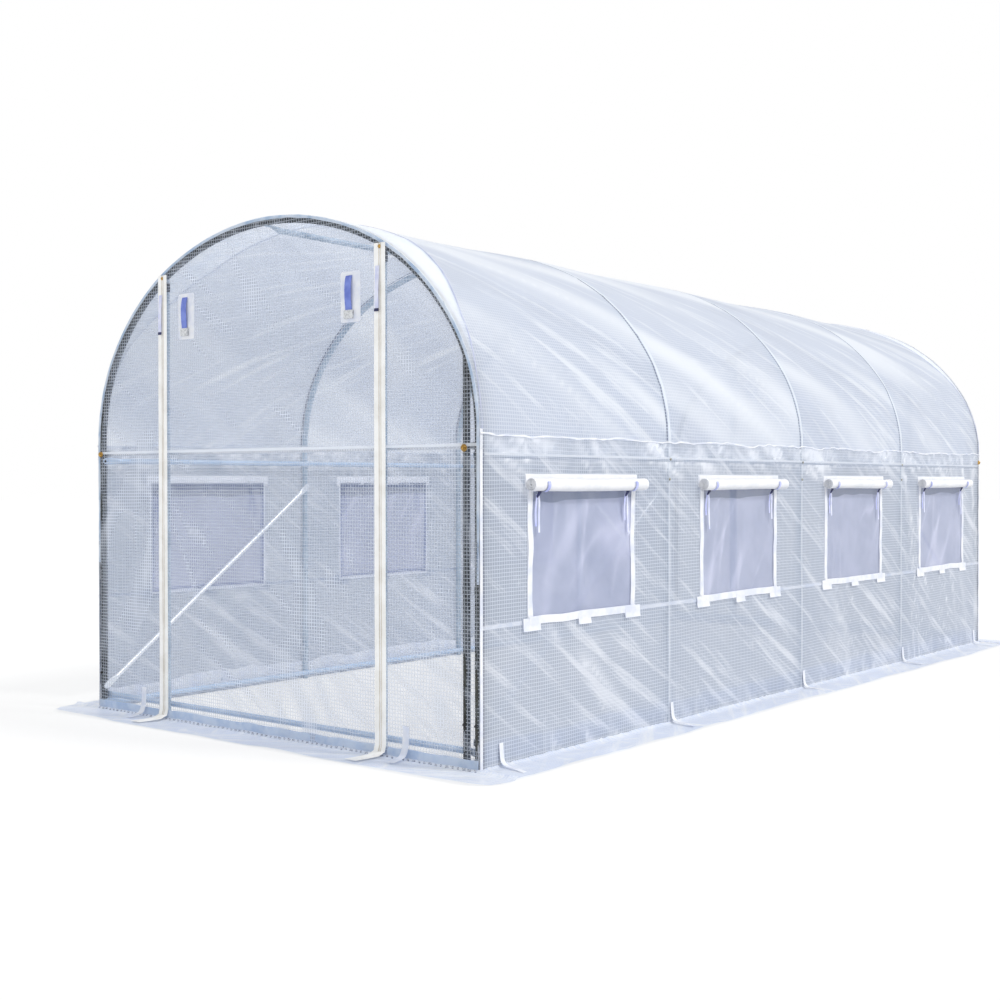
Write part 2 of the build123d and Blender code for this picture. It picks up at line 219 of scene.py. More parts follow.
def curve(points, count=24):
    """A smooth path through a few given points."""
    points = np.asarray(points, float)
    spans = np.linalg.norm(np.diff(points, axis=0), axis=1)
    knots = np.concatenate([[0], np.cumsum(np.sqrt(spans))])
    reached = np.vstack([2 * points[0] - points[1], points, 2 * points[-1] - points[-2]])
    made = []
    for t in np.linspace(0, knots[-1], count):
        i = min(int(np.searchsorted(knots, t, side="right")) - 1, len(points) - 2)
        s = (t - knots[i]) / (knots[i + 1] - knots[i])
        a, b, c, d = reached[i:i + 4]
        made.append(0.5 * (2 * b + (c - a) * s + (2 * a - 5 * b + 4 * c - d) * s**2
                           + (3 * b - a - 3 * c + d) * s**3))
    return np.array(made)


# Smooth random fields for folds and crumples

def soft_noise(u, v, seed):
    """Smooth values from -1 to 1 over a unit lattice."""
    lattice = np.random.default_rng(seed).uniform(-1, 1, (97, 89))
    u, v = np.broadcast_arrays(u, v)
    i, j = np.floor(u).astype(int), np.floor(v).astype(int)
    s, t = u - i, v - j
    s, t = s * s * (3 - 2 * s), t * t * (3 - 2 * t)

    def corner(a, b):
        return lattice[(i + a) % 97, (j + b) % 89]

    low = corner(0, 0) * (1 - s) + corner(1, 0) * s
    high = corner(0, 1) * (1 - s) + corner(1, 1) * s
    return low * (1 - t) + high * t


def folds(u, v, angle, width, length, seed, sharpness=3.0):
    """Long folds at an angle in degrees in the sheet: 1 on a fold's crest, falling to 0 beside it."""
    angle = math.radians(angle)
    along = u * math.cos(angle) + v * math.sin(angle)
    across = -u * math.sin(angle) + v * math.cos(angle)
    bend = 0.35 * soft_noise(along / length, across / length, seed + 1)
    crest = 1 - np.abs(soft_noise(across / width + bend, along / length, seed))
    fade = limited(0.5 + 0.9 * soft_noise(across / (4 * width), along / (0.8 * length), seed + 2))
    return crest ** sharpness * fade


def crumple(u, v, size, seed):
    """Small irregular dents, from 0 to 1."""
    total = 0.6 * np.abs(soft_noise(u / size, v / size, seed))
    return total + 0.4 * np.abs(soft_noise(2.3 * u / size, 2.3 * v / size, seed + 1))


# Mesh making

class Shape:
    """Collects the points, faces, flat places and fold marks of one piece."""

    def __init__(self):
        self.points, self.faces, self.flats, self.marks = [], [], [], []

    def grid(self, points, flats=None, marks=None, wrap=False, keep=None, caps=False):
        """A net of faces over rows and columns of points."""
        points = np.asarray(points)
        rows, columns = points.shape[:2]
        start, past = len(self.points), len(self.points) + rows * columns
        for i in range(rows - 1):
            low = start + i * columns
            for j in range(columns if wrap else columns - 1):
                if keep is None or keep[i, j]:
                    k = (j + 1) % columns
                    self.faces.append((low + j, low + k, low + columns + k, low + columns + j))
        if caps:
            self.faces.append(range(start, start + columns))
            self.faces.append(range(past - 1, past - columns - 1, -1))
        self.points += points.reshape(-1, 3).tolist()
        self.flats += (np.zeros((past - start, 2)) if flats is None else flats.reshape(-1, 2)).tolist()
        self.marks += (np.zeros(past - start) if marks is None else marks.reshape(-1)).tolist()

    def piece(self, name, paint, *nodes, soft=False):
        """Makes the object, with its flat places as a UV map and its fold marks as an attribute."""
        mesh = bpy.data.meshes.new(name)
        mesh.from_pydata(self.points, [], self.faces)
        flat = mesh.uv_layers.new(name="flat")
        corners = np.empty(len(mesh.loops), np.int32)
        mesh.loops.foreach_get("vertex_index", corners)
        flat.data.foreach_set("uv", np.array(self.flats, np.float32)[corners].ravel())
        mark = mesh.attributes.new("fold", "FLOAT", "POINT")
        mark.data.foreach_set("value", np.array(self.marks, np.float32))
        net = bmesh.new()
        net.from_mesh(mesh)
        bmesh.ops.delete(net, geom=[v for v in net.verts if not v.link_faces], context="VERTS")
        if not soft:
            bmesh.ops.recalc_face_normals(net, faces=net.faces)
        net.to_mesh(mesh)
        net.free()
        mesh.shade_smooth()
        mesh.set_sharp_from_angle(angle=math.radians(80 if soft else 35))
        material, slot = paints[paint]
        mesh.materials.append(material)
        made = bpy.data.objects.new(name, mesh)
        bpy.context.scene.collection.objects.link(made)
        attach(made, "root")
        if nodes:
            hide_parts(*nodes)
        return made


def film_piece(name, paint, points, flats, marks, *nodes, keep=None):
    """One layer of film or screen as a piece of its own."""
    shape = Shape()
    shape.grid(points, flats, marks, keep=keep)
    return shape.piece(name, paint, *nodes, soft=True)


def tube(shape, path, radius, sides=20):
    """A round tube along a path that lies square to Y."""
    path = np.asarray(path, float)
    radius = np.broadcast_to(radius, len(path))
    side = np.broadcast_to((0.0, 1.0, 0.0), path.shape)
    other = unit(np.cross(tangents(path), side))
    angles = np.linspace(0, 2 * math.pi, sides, endpoint=False)
    ring = np.cos(angles)[None, :, None] * side[:, None] + np.sin(angles)[None, :, None] * other[:, None]
    shape.grid(path[:, None] + ring * radius[:, None, None], wrap=True, caps=True)


def strip(shape, path, across, width, gauge, crown=0.25):
    """A tape along a path, with a gently rounded face."""
    path = np.asarray(path, float)
    across = unit(np.broadcast_to(across, path.shape))
    out = unit(np.cross(tangents(path), across))
    width = np.broadcast_to(width, len(path))
    section = [(-0.5, 0), (-0.5, 1), (-0.25, 1 + crown), (0.25, 1 + crown), (0.5, 1), (0.5, 0)]
    rings = [path + across * (a * width)[:, None] + out * (b * gauge) for a, b in section]
    flats = [join(run(path), a * width) for a, _ in section]
    shape.grid(np.stack(rings, axis=1), np.stack(flats, axis=1), wrap=True, caps=True)


def tape_piece(name, paint, path, across, width, gauge):
    """One tape as a piece of its own."""
    shape = Shape()
    strip(shape, path, across, width, gauge)
    return shape.piece(name, paint)


def turned(shape, place, direction, profile, sides=16):
    """A turned body on an axis, such as a bolt head, from radius and height pairs."""
    rotation = np.array(Vector(direction).normalized().to_track_quat("Z", "Y").to_matrix())
    angles = np.linspace(0, 2 * math.pi, sides, endpoint=False)
    rings = [join(radius * np.cos(angles), radius * np.sin(angles), height) for radius, height in profile]
    shape.grid(np.array(rings) @ rotation.T + place, wrap=True, caps=True)


def pressed_tube(shape, start, end, squash, shift, sides=16):
    """A tube from bolt to bolt with its ends pressed flat and cranked square to the squash direction."""
    start, end = np.asarray(start, float), np.asarray(end, float)
    along, squash = unit(end - start), unit(squash)
    side = np.cross(along, squash)
    length = float(np.linalg.norm(end - start))
    stations = [-0.0118, -0.0085, 0.0, 0.025, 0.033, 0.041, 0.049, 0.057, 0.066]
    stations = np.array(stations + [length - s for s in reversed(stations)])
    bends = [0.0, 0.025, 0.057, length - 0.057, length - 0.025, length]

    def along_tube(tab, middle):
        return np.interp(stations, bends, [tab, tab, middle, middle, tab, tab])

    from_end = np.minimum(stations + 0.012, length + 0.012 - stations)
    half_widths = along_tube(0.0138, rail_radius) * np.sqrt(np.clip(from_end / 0.010, 0.05, 1.0))
    angles = np.linspace(0, 2 * math.pi, sides, endpoint=False)
    rings = []
    for s, gauge, across, move in zip(
            stations, along_tube(pressed_half_gauge, rail_radius), half_widths, along_tube(shift, 0)):
        roundness = 0.25 + 0.75 * gauge / rail_radius
        cosine, sine = np.cos(angles), np.sin(angles)
        thick = np.sign(cosine) * np.abs(cosine) ** roundness * gauge + move
        wide = np.sign(sine) * np.abs(sine) ** roundness * across
        rings.append(start + along * s + thick[:, None] * squash + wide[:, None] * side)
    shape.grid(rings, wrap=True, caps=True)


# Materials

def colour(red, green, blue):
    """Linear colour from the usual 0 to 255 values."""
    def linear(value):
        value /= 255
        return value / 12.92 if value <= 0.04045 else ((value + 0.055) / 1.055) ** 2.4
    return (linear(red), linear(green), linear(blue), 1.0)


class Paint:
    """One node material, or the world's nodes, with short ways to add and join them."""

    def __init__(self, name, kind="Material"):
        self.data = (bpy.data.worlds if kind == "World" else bpy.data.materials).new(name)
        self.data.use_nodes = True
        self.tree = self.data.node_tree
        self.tree.nodes.clear()
        self.output = self.tree.nodes.new(f"ShaderNodeOutput{kind}")

    def put(self, socket, value):
        """Links a socket, or sets it: a row of three is a colour from 0 to 255."""
        if isinstance(value, bpy.types.NodeSocket):
            self.tree.links.new(value, socket)
        elif value is not None:
            socket.default_value = colour(*value) if isinstance(value, tuple) and len(value) == 3 else value

    def add(self, kind, inputs, out=0, **settings):
        """Adds a node with its inputs and settings and gives one of its outputs."""
        node = self.tree.nodes.new(f"ShaderNode{kind}")
        for key, value in settings.items():
            setattr(node, key, value)
        for key, value in inputs.items():
            self.put(node.inputs[key], value)
        return node.outputs[out]

    def sum(self, operation, first, second=0.0):
        return self.add("Math", {0: first, 1: second}, operation=operation)

    def ramp(self, value, low, high, start=0.0, end=1.0):
        limits = {"From Min": low, "From Max": high, "To Min": start, "To Max": end}
        return self.add("MapRange", {"Value": value, **limits}, interpolation_type="SMOOTHSTEP")

    def noise(self, vector, scale, detail=3.0, roughness=0.5):
        inputs = {"Vector": vector, "Scale": scale, "Detail": detail, "Roughness": roughness}
        return self.add("TexNoise", inputs)

    def value_blend(self, factor, first, second):
        return self.add("Mix", {0: factor, 2: first, 3: second}, data_type="FLOAT")

    def blend(self, factor, first, second):
        return self.add("Mix", {0: factor, 6: first, 7: second}, 2, data_type="RGBA")

    def place(self):
        return self.add("TexCoord", {}, "Object")

    def flat(self):
        return self.split(self.add("UVMap", {}, uv_map="flat"))

    def fold(self):
        return self.add("Attribute", {}, "Fac", attribute_name="fold")

    def split(self, vector):
        node = self.tree.nodes.new("ShaderNodeSeparateXYZ")
        self.put(node.inputs[0], vector)
        return node.outputs

    def lines(self, u, v, pitch, inner, outer):
        """Threads both ways, 1 on each thread and 0 between them."""
        return self.sum("MAXIMUM", *[
            self.ramp(self.sum("PINGPONG", way, pitch / 2), inner, outer, 1.0, 0.0) for way in (u, v)])

    def bump(self, height, strength, distance, normal=None):
        inputs = {"Strength": strength, "Distance": distance, "Height": height, "Normal": normal}
        return self.add("Bump", inputs)

    def surface(self, base, roughness, normal=None, metallic=0.0):
        inputs = {"Base Color": base, "Roughness": roughness, "Metallic": metallic, "Normal": normal}
        return self.add("BsdfPrincipled", inputs)

    def mixed(self, factor, first, second):
        return self.add("MixShader", {0: factor, 1: first, 2: second})

    def see_through(self, base, roughness, normal, glow, cover):
        """A surface that lets some light glow through and covers only part of what lies behind it."""
        lit = self.add("BsdfTranslucent", {"Color": base, "Normal": normal})
        body = self.mixed(glow, self.surface(base, roughness, normal), lit)
        return self.done(self.mixed(cover, self.add("BsdfTransparent", {}), body))

    def ray(self, kind):
        return self.add("LightPath", {}, f"Is {kind} Ray")

    def seen_directly(self):
        """1 where the eye, a reflection or a view through glass looks, and 0 for other light."""
        direct = self.sum("MAXIMUM", self.ray("Camera"), self.ray("Glossy"))
        return self.sum("MAXIMUM", direct, self.ray("Transmission"))

    def done(self, surface):
        self.tree.links.new(surface, self.output.inputs["Surface"])
        return self.data


# Painted shade of a tube's dark side, seen through the film
tube_shade = (112, 118, 142)


def scrim_film(name, cell, thread, whitened_and_highlight, cell_cover, thread_cover, thread_half, let_through,
               streak, glow=0.45, plain_from=None):
    """Film over a woven grid of white threads. Fold marks and diagonal streaks whiten it, partly as doubled
    and creased film and partly as a painted highlight, and marks below 0 paint the shade of a tube seen
    through it.
    """
    paint = Paint(name)
    place, fold = paint.place(), paint.fold()
    shift = paint.tree.nodes.new("ShaderNodeVectorMath")
    shift.operation = "MULTIPLY_ADD"
    paint.put(shift.inputs[0], paint.add("TexNoise", {"Vector": place, "Scale": 2.6}, "Color"))
    shift.inputs[1].default_value = (0.012, 0.012, 0.0)
    paint.put(shift.inputs[2], paint.add("UVMap", {}, uv_map="flat"))
    u, v, _ = paint.split(shift.outputs[0])
    grid = paint.lines(u, v, grid_pitch, 0.5 * thread_half, 1.6 * thread_half)
    threads, extra = grid, 0.0
    if plain_from is not None:
        plain = paint.ramp(paint.split(place)[2], plain_from, plain_from + 0.34)
        threads = paint.value_blend(plain, grid, 0.62)
        extra = paint.sum("MULTIPLY", plain, 0.12)
    haze = paint.ramp(paint.noise(place, 2.1, 4.0, 0.6), 0.3, 0.7, -0.06, 0.06)
    # Diagonal streaks of painted highlight, drawn by noise alone
    slope = paint.sum("MULTIPLY", paint.sum("ADD", v, paint.sum("MULTIPLY", u, 0.62)), 15.0)
    bias = paint.add("CombineXYZ", {0: slope, 1: paint.sum("MULTIPLY", u, 1.7)})
    wrinkle_highlight = paint.ramp(paint.noise(bias, 1.0, 4.0, 0.62), 0.49, 0.70, 0.0, streak)
    white = paint.sum("MAXIMUM", paint.ramp(fold, 0.06, 0.95), wrinkle_highlight)
    cover = paint.value_blend(threads, cell_cover, thread_cover)
    cover = paint.sum("ADD", cover, paint.sum("ADD", haze, extra))
    cover = paint.sum("MINIMUM", paint.value_blend(white, cover, 0.97), 0.99)
    base = paint.blend(white, paint.blend(threads, cell, thread), whitened_and_highlight)
    # Marks below 0 blend in tube_shade, leaving the threads lighter: painted shade of a tube behind the film
    dark = paint.ramp(fold, -0.9, -0.1, 1.0, 0.0)
    shown = paint.sum("MULTIPLY", dark, paint.ramp(grid, 0.0, 1.0, 1.0, 0.30))
    base = paint.blend(shown, base, tube_shade)
    normal = paint.bump(threads, 0.3, 0.0004, paint.bump(paint.noise(place, 38.0, 3.0, 0.55), 0.25, 0.0012))
    cover = paint.value_blend(paint.ray("Shadow"), cover, 1 - let_through)
    return paint.see_through(base, 0.32, normal, glow, cover)


def white_tape(name, base, shade, cover=0.96, glow=0.25):
    """White folded film or tape with a fine weave and creases."""
    paint = Paint(name)
    place = paint.place()
    tone = paint.blend(paint.ramp(paint.noise(place, 14.0, 4.0, 0.6), 0.38, 0.72), base, shade)
    creases = paint.bump(paint.noise(place, 60.0, 4.0, 0.6), 0.55, 0.0016)
    normal = paint.bump(paint.noise(place, 900.0, 1.0), 0.2, 0.0002, creases)
    return paint.see_through(tone, 0.42, normal, glow, cover)


def insect_mesh(name, low, high, crest, shadow):
    """Fine mesh, partly see-through, with a painted highlight on its folds and a painted shadow under a
    roll.
    """
    paint = Paint(name)
    fold = paint.fold()
    u, v, _ = paint.flat()
    threads = paint.lines(u, v, 0.0022, 0.00018, 0.0005)
    tone = paint.blend(paint.ramp(paint.noise(paint.place(), 5.0, 3.0, 0.6), 0.3, 0.7), low, high)
    tone = paint.blend(paint.ramp(fold, 0.2, 1.0), tone, crest)
    tone = paint.blend(paint.ramp(fold, -0.9, -0.1, 1.0, 0.0), tone, shadow)
    normal = paint.bump(threads, 0.3, 0.0002)
    return paint.see_through(tone, 0.55, normal, 0.3, paint.ramp(threads, 0.0, 1.0, 0.72, 0.97))


def zinc(name, dark, mid, light, roughness=0.4, metallic=0.75):
    """Zinc-coated steel with a faint spangle, wipe marks and dull patches."""
    paint = Paint(name)
    place = paint.place()
    grain = paint.split(paint.add("TexVoronoi", {"Vector": place, "Scale": 190.0}, "Color"))[0]
    patches = paint.ramp(paint.noise(place, 9.0, 4.0, 0.6), 0.35, 0.7)
    tone = paint.blend(paint.ramp(grain, 0.0, 1.0, 0.0, 0.5), mid, light)
    tone = paint.blend(paint.sum("MULTIPLY", patches, 0.6), tone, dark)
    rough = paint.ramp(patches, 0.0, 1.0, roughness, roughness + 0.18)
    normal = paint.bump(paint.noise(place, 240.0, 2.0, 0.6), 0.12, 0.0003)
    return paint.done(paint.surface(tone, rough, normal, metallic))


def webbing(name, base, shade):
    """Woven strap, with ribs across it and slightly worn tones."""
    paint = Paint(name)
    ribs = paint.ramp(paint.sum("PINGPONG", paint.flat()[0], 0.0009), 0.0001, 0.0008)
    tone = paint.blend(paint.ramp(paint.noise(paint.place(), 30.0), 0.35, 0.7), base, shade)
    tone = paint.blend(paint.sum("MULTIPLY", ribs, 0.25), tone, shade)
    return paint.done(paint.surface(tone, 0.6, paint.bump(ribs, 0.5, 0.0004)))


def zip_cloth(name, base, shade):
    """Herringbone zip tape."""
    paint = Paint(name)
    u, v, _ = paint.flat()
    twill = paint.ramp(paint.sum("PINGPONG", paint.sum("ADD", u, v), 0.0008), 0.0001, 0.0007)
    tone = paint.blend(paint.ramp(paint.noise(paint.place(), 18.0, 4.0), 0.35, 0.7), base, shade)
    return paint.done(paint.surface(tone, 0.65, paint.bump(twill, 0.35, 0.0003)))


def plain_metal(name, base, shade, roughness, metallic):
    """Small fittings: one tone with wear, dust and fine scratches."""
    paint = Paint(name)
    place = paint.place()
    tone = paint.blend(paint.ramp(paint.noise(place, 120.0, 4.0, 0.6), 0.4, 0.7), base, shade)
    normal = paint.bump(paint.noise(place, 400.0, 2.0), 0.15, 0.0002)
    return paint.done(paint.surface(tone, roughness, normal, metallic))


paints = {}
for slot, make, rows in (
    ("clear_film", scrim_film, [
        ("film_gable", (142, 156, 182), (216, 223, 235), (242, 246, 253), 0.17, 0.64, 0.0014, 0.80, 0.35),
        ("film_roof", (202, 210, 225), (226, 231, 241), (248, 251, 255),
         0.92, 0.96, 0.0015, 0.70, 0.75, 0.5, 1.36),
        ("film_wall", (174, 182, 197), (213, 219, 229), (247, 249, 254), 0.92, 0.96, 0.0012, 0.80, 0.60)]),
    ("white_film", scrim_film, [
        ("film_skirt", (220, 229, 248), (232, 238, 251), (250, 252, 255),
         0.95, 0.98, 0.0015, 0.05, 0.8, 0.3)]),
    ("white_film", white_tape, [
        ("hem_white", (246, 249, 255), (226, 234, 248), 0.60, 0.4),
        ("hem_faint", (244, 248, 255), (228, 235, 248), 0.20, 0.4),
        ("tape_white", (251, 252, 255), (232, 237, 250)),
        ("roll_white", (252, 252, 254), (240, 242, 247), 0.985, 0.2),
        ("rail_blue", (222, 233, 248), (190, 210, 236), 0.85, 0.3),
        ("edge_blue", (232, 241, 252), (190, 212, 236), 0.97, 0.35),
        ("seam_lilac", (214, 219, 240), (196, 202, 230), 0.9, 0.2)]),
    ("screen_mesh", insect_mesh, [
        ("screen_cloth", (164, 171, 197), (178, 184, 209), (200, 204, 228), (132, 140, 164))]),
    ("galvanised_tube", zinc, [
        # zinc_end is a near-black copy of this zinc, painted shade for the end tubes; zinc_brace is a
        # near-white copy, a painted lit look for the crossbars and braces
        ("zinc_end", (36, 36, 34), (64, 64, 58), (112, 118, 120)),
        ("zinc_inner", (136, 156, 174), (188, 204, 218), (228, 236, 244), 0.4, 0.35),
        ("zinc_rail", (168, 190, 216), (198, 216, 238), (228, 238, 249), 0.4, 0.3),
        ("zinc_brace", (236, 240, 246), (248, 250, 253), (253, 254, 255), 0.42)]),
    ("strap", webbing, [
        ("strap_blue", (128, 146, 222), (98, 116, 200)),
        ("strap_lilac", (206, 211, 244), (168, 176, 230)),
        ("strap_pale", (232, 235, 252), (204, 209, 240)),
        ("knot_navy", (52, 58, 108), (30, 34, 70))]),
    ("zip_tape", zip_cloth, [
        ("zip_cream", (252, 252, 251), (242, 241, 238)),
        ("coil_beige", (220, 214, 202), (198, 190, 176))]),
    ("strap", plain_metal, [("buckle_grey", (222, 224, 226), (170, 172, 176), 0.4, 0.0)]),
    ("galvanised_tube", plain_metal, [("bolt_gold", (196, 156, 84), (110, 80, 40), 0.32, 0.9)]),
    ("clamp", plain_metal, [
        ("fitting_pale", (182, 182, 172), (120, 116, 104), 0.4, 0.3),
        ("fitting_dark", (40, 42, 46), (70, 70, 70), 0.45, 0.4)]),
):
    for name, *values in rows:
        paints[name] = make(name, *values), slot


# Frame tubes

def make_arches():
    line, _ = arch_line(joint_height, 0.025)
    for number, y in enumerate(hoop_places, start=1):
        shape = Shape()
        tube(shape, join(line[:, 0], y, line[:, 1]), tube_radius)
        shape.piece(f"arch_{number}", "zinc_inner" if y in inner_places else "zinc_end", f"hoop_{number}")


def leg_profile():
    """Heights and radii of a leg: a swaged joint half way up and the sleeve under the arch."""
    collar, sleeve = tube_radius + 0.0012, tube_radius + 0.0010
    return [
        (0.0, tube_radius), (swage_height - 0.016, tube_radius), (swage_height - 0.012, collar),
        (swage_height + 0.010, collar), (swage_height + 0.0105, tube_radius - 0.0006),
        (swage_height + 0.014, tube_radius - 0.0004), (joint_height - 0.070, tube_radius),
        (joint_height - 0.066, sleeve), (joint_height - 0.001, sleeve), (joint_height, tube_radius - 0.0005),
    ]


def make_legs():
    heights, radii = zip(*leg_profile())
    for side, way in sides:
        for group, places in (("end", (front, back)), ("inner", inner_places)):
            shape = Shape()
            for y in places:
                tube(shape, [(way * half_width, y, z) for z in heights], radii)
            shape.piece(f"{group}_legs_{side}", f"zinc_{group}", f"legs_{side}")


def make_posts():
    """The extra upright beside the right front leg, which ends under the arch, and the four door posts."""
    shape = Shape()
    top = float(arch_height(gable_post_x)) - 0.004
    heights, radii = zip(*[row for row in leg_profile() if row[0] < 0.7], (top, tube_radius))
    tube(shape, [(gable_post_x, front, z) for z in heights], radii)
    shape.piece("gable_upright", "zinc_end", "gable_post")
    shape = Shape()
    top = float(arch_height(door_x)) - 0.006
    for x in (-door_x, door_x):
        for y in (front, back):
            tube(shape, [(x, y, 0.0), (x, y, 0.6), (x, y, top)], rail_radius, 18)
    shape.piece("door_uprights", "zinc_inner", "door_posts")


def make_rails():
    """Purlins, ground rails, ridge, crossbars, end rails and braces, bolted by their pressed ends."""
    tube_x = half_width - tube_radius - rail_radius
    crank = rail_radius - pressed_half_gauge
    inset, ridge_gap = 0.024, 0.00015
    bend = inset - tube_radius - pressed_half_gauge
    plane_x = half_width - tube_radius - pressed_half_gauge
    ridge_z = ridge_height - tube_radius - rail_radius - ridge_gap

    def lengthways(way, z):
        return (way * tube_x, front, z), (way * tube_x, back, z), (way, 0, 0), crank

    def crossways(z):
        return [((-half_width, y, z), (half_width, y, z), (0, out, 0), bend)
                for y, out in ((front + inset, -1), (back - inset, 1))]

    ground = [lengthways(way, ground_rail_height) for way in (-1, 1)]
    for name, metal, node, bars in (
        ("purlin_tube_left", "zinc_rail", "purlins_left", [lengthways(-1, purlin_height)]),
        ("purlin_tube_right", "zinc_rail", "purlins_right", [lengthways(1, purlin_height)]),
        ("ground_tubes", "zinc_rail", "ground_rails", ground),
        ("ridge_tube", "zinc_inner", "ridge_purlin", [
            ((0, front, ridge_z), (0, back, ridge_z), (0, 0, 1), crank)]),
        ("cross_tubes", "zinc_brace", "crossbars", crossways(crossbar_height)),
        ("end_tubes", "zinc_rail", "end_rails", crossways(end_rail_height)),
        ("brace_tubes", "zinc_brace", "braces", [
            ((way * plane_x, y, brace_low), (way * plane_x, y + step, brace_high), (1, 0, 0), 0)
            for way in (-1, 1) for y, step in ((front, bay), (back, -bay))]),
    ):
        shape = Shape()
        for bar in bars:
            pressed_tube(shape, *bar)
        shape.piece(name, metal, node)


# Film

def between_hoops(y):
    """0 on each hoop and 1 half way to the next."""
    share = np.clip((y + half_length) / bay, 0, bay_count)
    return np.sin(math.pi * (share % 1)) ** 2


def streaks(y, up, seed):
    """Long soft folds that run from high on a bay's front hoop down towards its back hoop."""
    share = np.clip((y + half_length) / bay, 0, bay_count - 0.001)
    past = (share % 1) * bay
    number = np.floor(share)
    across = up + 0.40 * past + 0.10 * past**2 + 0.31 * number
    bend = 0.25 * soft_noise(across / 0.25, past / 0.5 + 9 * number, seed + 3)
    broad = soft_noise(across / 0.13 + bend, past / 1.3 + 3 * number, seed)
    narrow = 1 - np.abs(soft_noise(across / 0.075 + 2 * bend, past / 0.9 + 5 * number, seed + 1))
    where = limited(0.55 + 1.1 * soft_noise(across / 0.3, past / 0.8 + 7 * number, seed + 2))
    return broad, narrow**7 * where


def hoop_shade_and_highlight(y):
    """Marks across the film at a place: below 0 for painted shade where a tube's dark side shows, 1 for a
    painted highlight on its lit side.
    """
    mark = np.zeros(y.shape)
    inside = np.zeros(y.shape, bool)
    for place in inner_places:
        near = np.abs(y - place - 0.0015) < 0.0174
        mark = np.where(near, np.interp(y - place, hoop_light_marks, [0, -0.8, -0.8, 0, 1, 1, 0.3]), mark)
        inside = inside | near
    return mark, inside


def with_end_tube_shade(fold, y, level, *at):
    """Adds dark marks of painted shade where an end tube shows through the film just inside the corner."""
    for end in at:
        mark = level * np.interp(gable_y - end * y, end_tube_shade_marks, [0, -1, -1, 0])
        fold = np.where(mark < -0.02, mark, fold)
    return fold


def end_hem(up):
    """Width of the doubled film inside an end arch, widest at the crown and gone by the wall."""
    return np.interp(
        up, [0.10, 0.19, 0.42, 0.64, 0.79, 0.87, 1.3], [0.012, 0.018, 0.062, 0.140, 0.180, 0.205, 0.225])


def make_roof():
    """The roof film, pulled over the hoops, with long folds in every bay."""
    line, out = arch_line(seam_height)
    length = run(line + out * film_out)
    hoops = [place + hoop_light_marks for place in inner_places]
    ys = merged(np.linspace(-gable_y, gable_y, 231), gable_y - end_tube_shade_marks, *hoops)
    s, y = np.meshgrid(length, ys, indexing="ij")
    up = np.minimum(s, length[-1] - s)
    between = between_hoops(y)
    left = s > length[-1] / 2
    both = zip(streaks(y, up, 51), streaks(y, up, 11))
    broad, narrow = [np.where(left, there, here) for there, here in both]
    # Painted highlight along the folds and mild painted shade between them
    fold = np.clip(0.20 + 0.75 * broad + 0.30 * narrow * (0.3 + 0.7 * between), -0.24, 0.92)
    ripple = 0.25 * soft_noise(y / 0.21, up / 0.16, 5) * between
    sink = -0.0085 * between + 0.0030 * broad * between + 0.0040 * narrow + 0.003 * ripple
    sink = np.where(up < 0.03, np.maximum(sink, -0.004), sink)
    mark, inside = hoop_shade_and_highlight(y)
    fold = np.where(inside, mark, fold)
    doubled = limited((end_hem(up) - gable_y + np.abs(y)) / 0.02)
    doubled = doubled * np.interp(up, [0.15, 0.45, 0.75], [0.35, 0.75, 1.0])
    fold = np.where(doubled > 0, np.maximum(fold, doubled), fold)
    fold = with_end_tube_shade(fold, y, 0.7, 1)
    points = around(line, out, film_out + sink, y)
    roof = film_piece("roof_film", "film_roof", points, join(y, s), fold, "roof_cover")
    return roof, float(length[-1])


def make_roof_hems():
    """The doubled edge of the roof film inside each end arch, and its sewn line."""
    line, out = arch_line(seam_height)
    length = run(line)
    pieces = []
    reach = end_hem(np.minimum(length, length[-1] - length))
    for name, end in ends:
        s, share = np.meshgrid(length, np.linspace(0, 1, 12), indexing="ij")
        y = end * (gable_y - share * reach[:, None])
        dent = crumple(s, y, 0.035, 70 + end)
        points = around(line, out, film_out - 0.0022 - 0.002 * dent, y)
        hem = film_piece(f"roof_hem_{name}", "hem_white", points, join(y, s), dent)
        seam_y = end * (gable_y - reach) + 0.003 * soft_noise(length / 0.11, 0, 9)
        path = around(line, out, film_out + 0.0012, seam_y)
        pieces.append(tape_piece(f"roof_seam_{name}", "seam_lilac", path, (0, 1, 0), 0.005, 0.0009))
    return pieces


def make_arch_edges():
    """The roof film's folded edge, where it turns over the end arches on to the gables."""
    line, out = arch_line(0.60, 0.02)
    steps = np.arange(len(line)) * 0.02
    for name, end in ends:
        path = around(line, out, film_out - 0.0056, np.full(len(line), end * (gable_y + 0.0004)))
        across = -end * join(out[:, 0], 0, out[:, 1])
        width = 0.0105 * (1 + 0.2 * soft_noise(steps / 0.06, 0, 33 + end))
        tape_piece(f"arch_edge_{name}", "edge_blue", path, across, width, 0.0014)


def wall_sink(y, z, seed):
    """How far a side wall sinks in at a place, and how strongly it is folded there."""
    between = between_hoops(y)
    fold = folds(y, z, -50, 0.05, 0.9, seed, 7.0) * (0.3 + 0.7 * between)
    upright = folds(y, z, -76, 0.04, 0.9, seed + 7, 6.0) * limited((y + 0.3) / 1.6)
    gather = np.abs(soft_noise(y / 0.035, z / 0.2, seed + 9)) * limited((0.18 - z) / 0.18)
    high = limited((z - window_top) / 0.1)
    crisp = folds(y, z, -38, 0.030, 0.26, seed + 17, 4.0) + folds(y, z, -22, 0.040, 0.35, seed + 23, 5.0)
    crisp = crisp * (0.12 + 0.88 * high)
    puff = 0.5 * high * crumple(y, z, 0.05, seed + 13)
    fold = limited(0.60 * fold + 0.60 * upright + 0.4 * gather + puff + 0.8 * crisp)
    sink = -0.004 * between + 0.0035 * fold + 0.0015 * soft_noise(y / 0.25, z / 0.2, seed + 11)
    return sink, fold


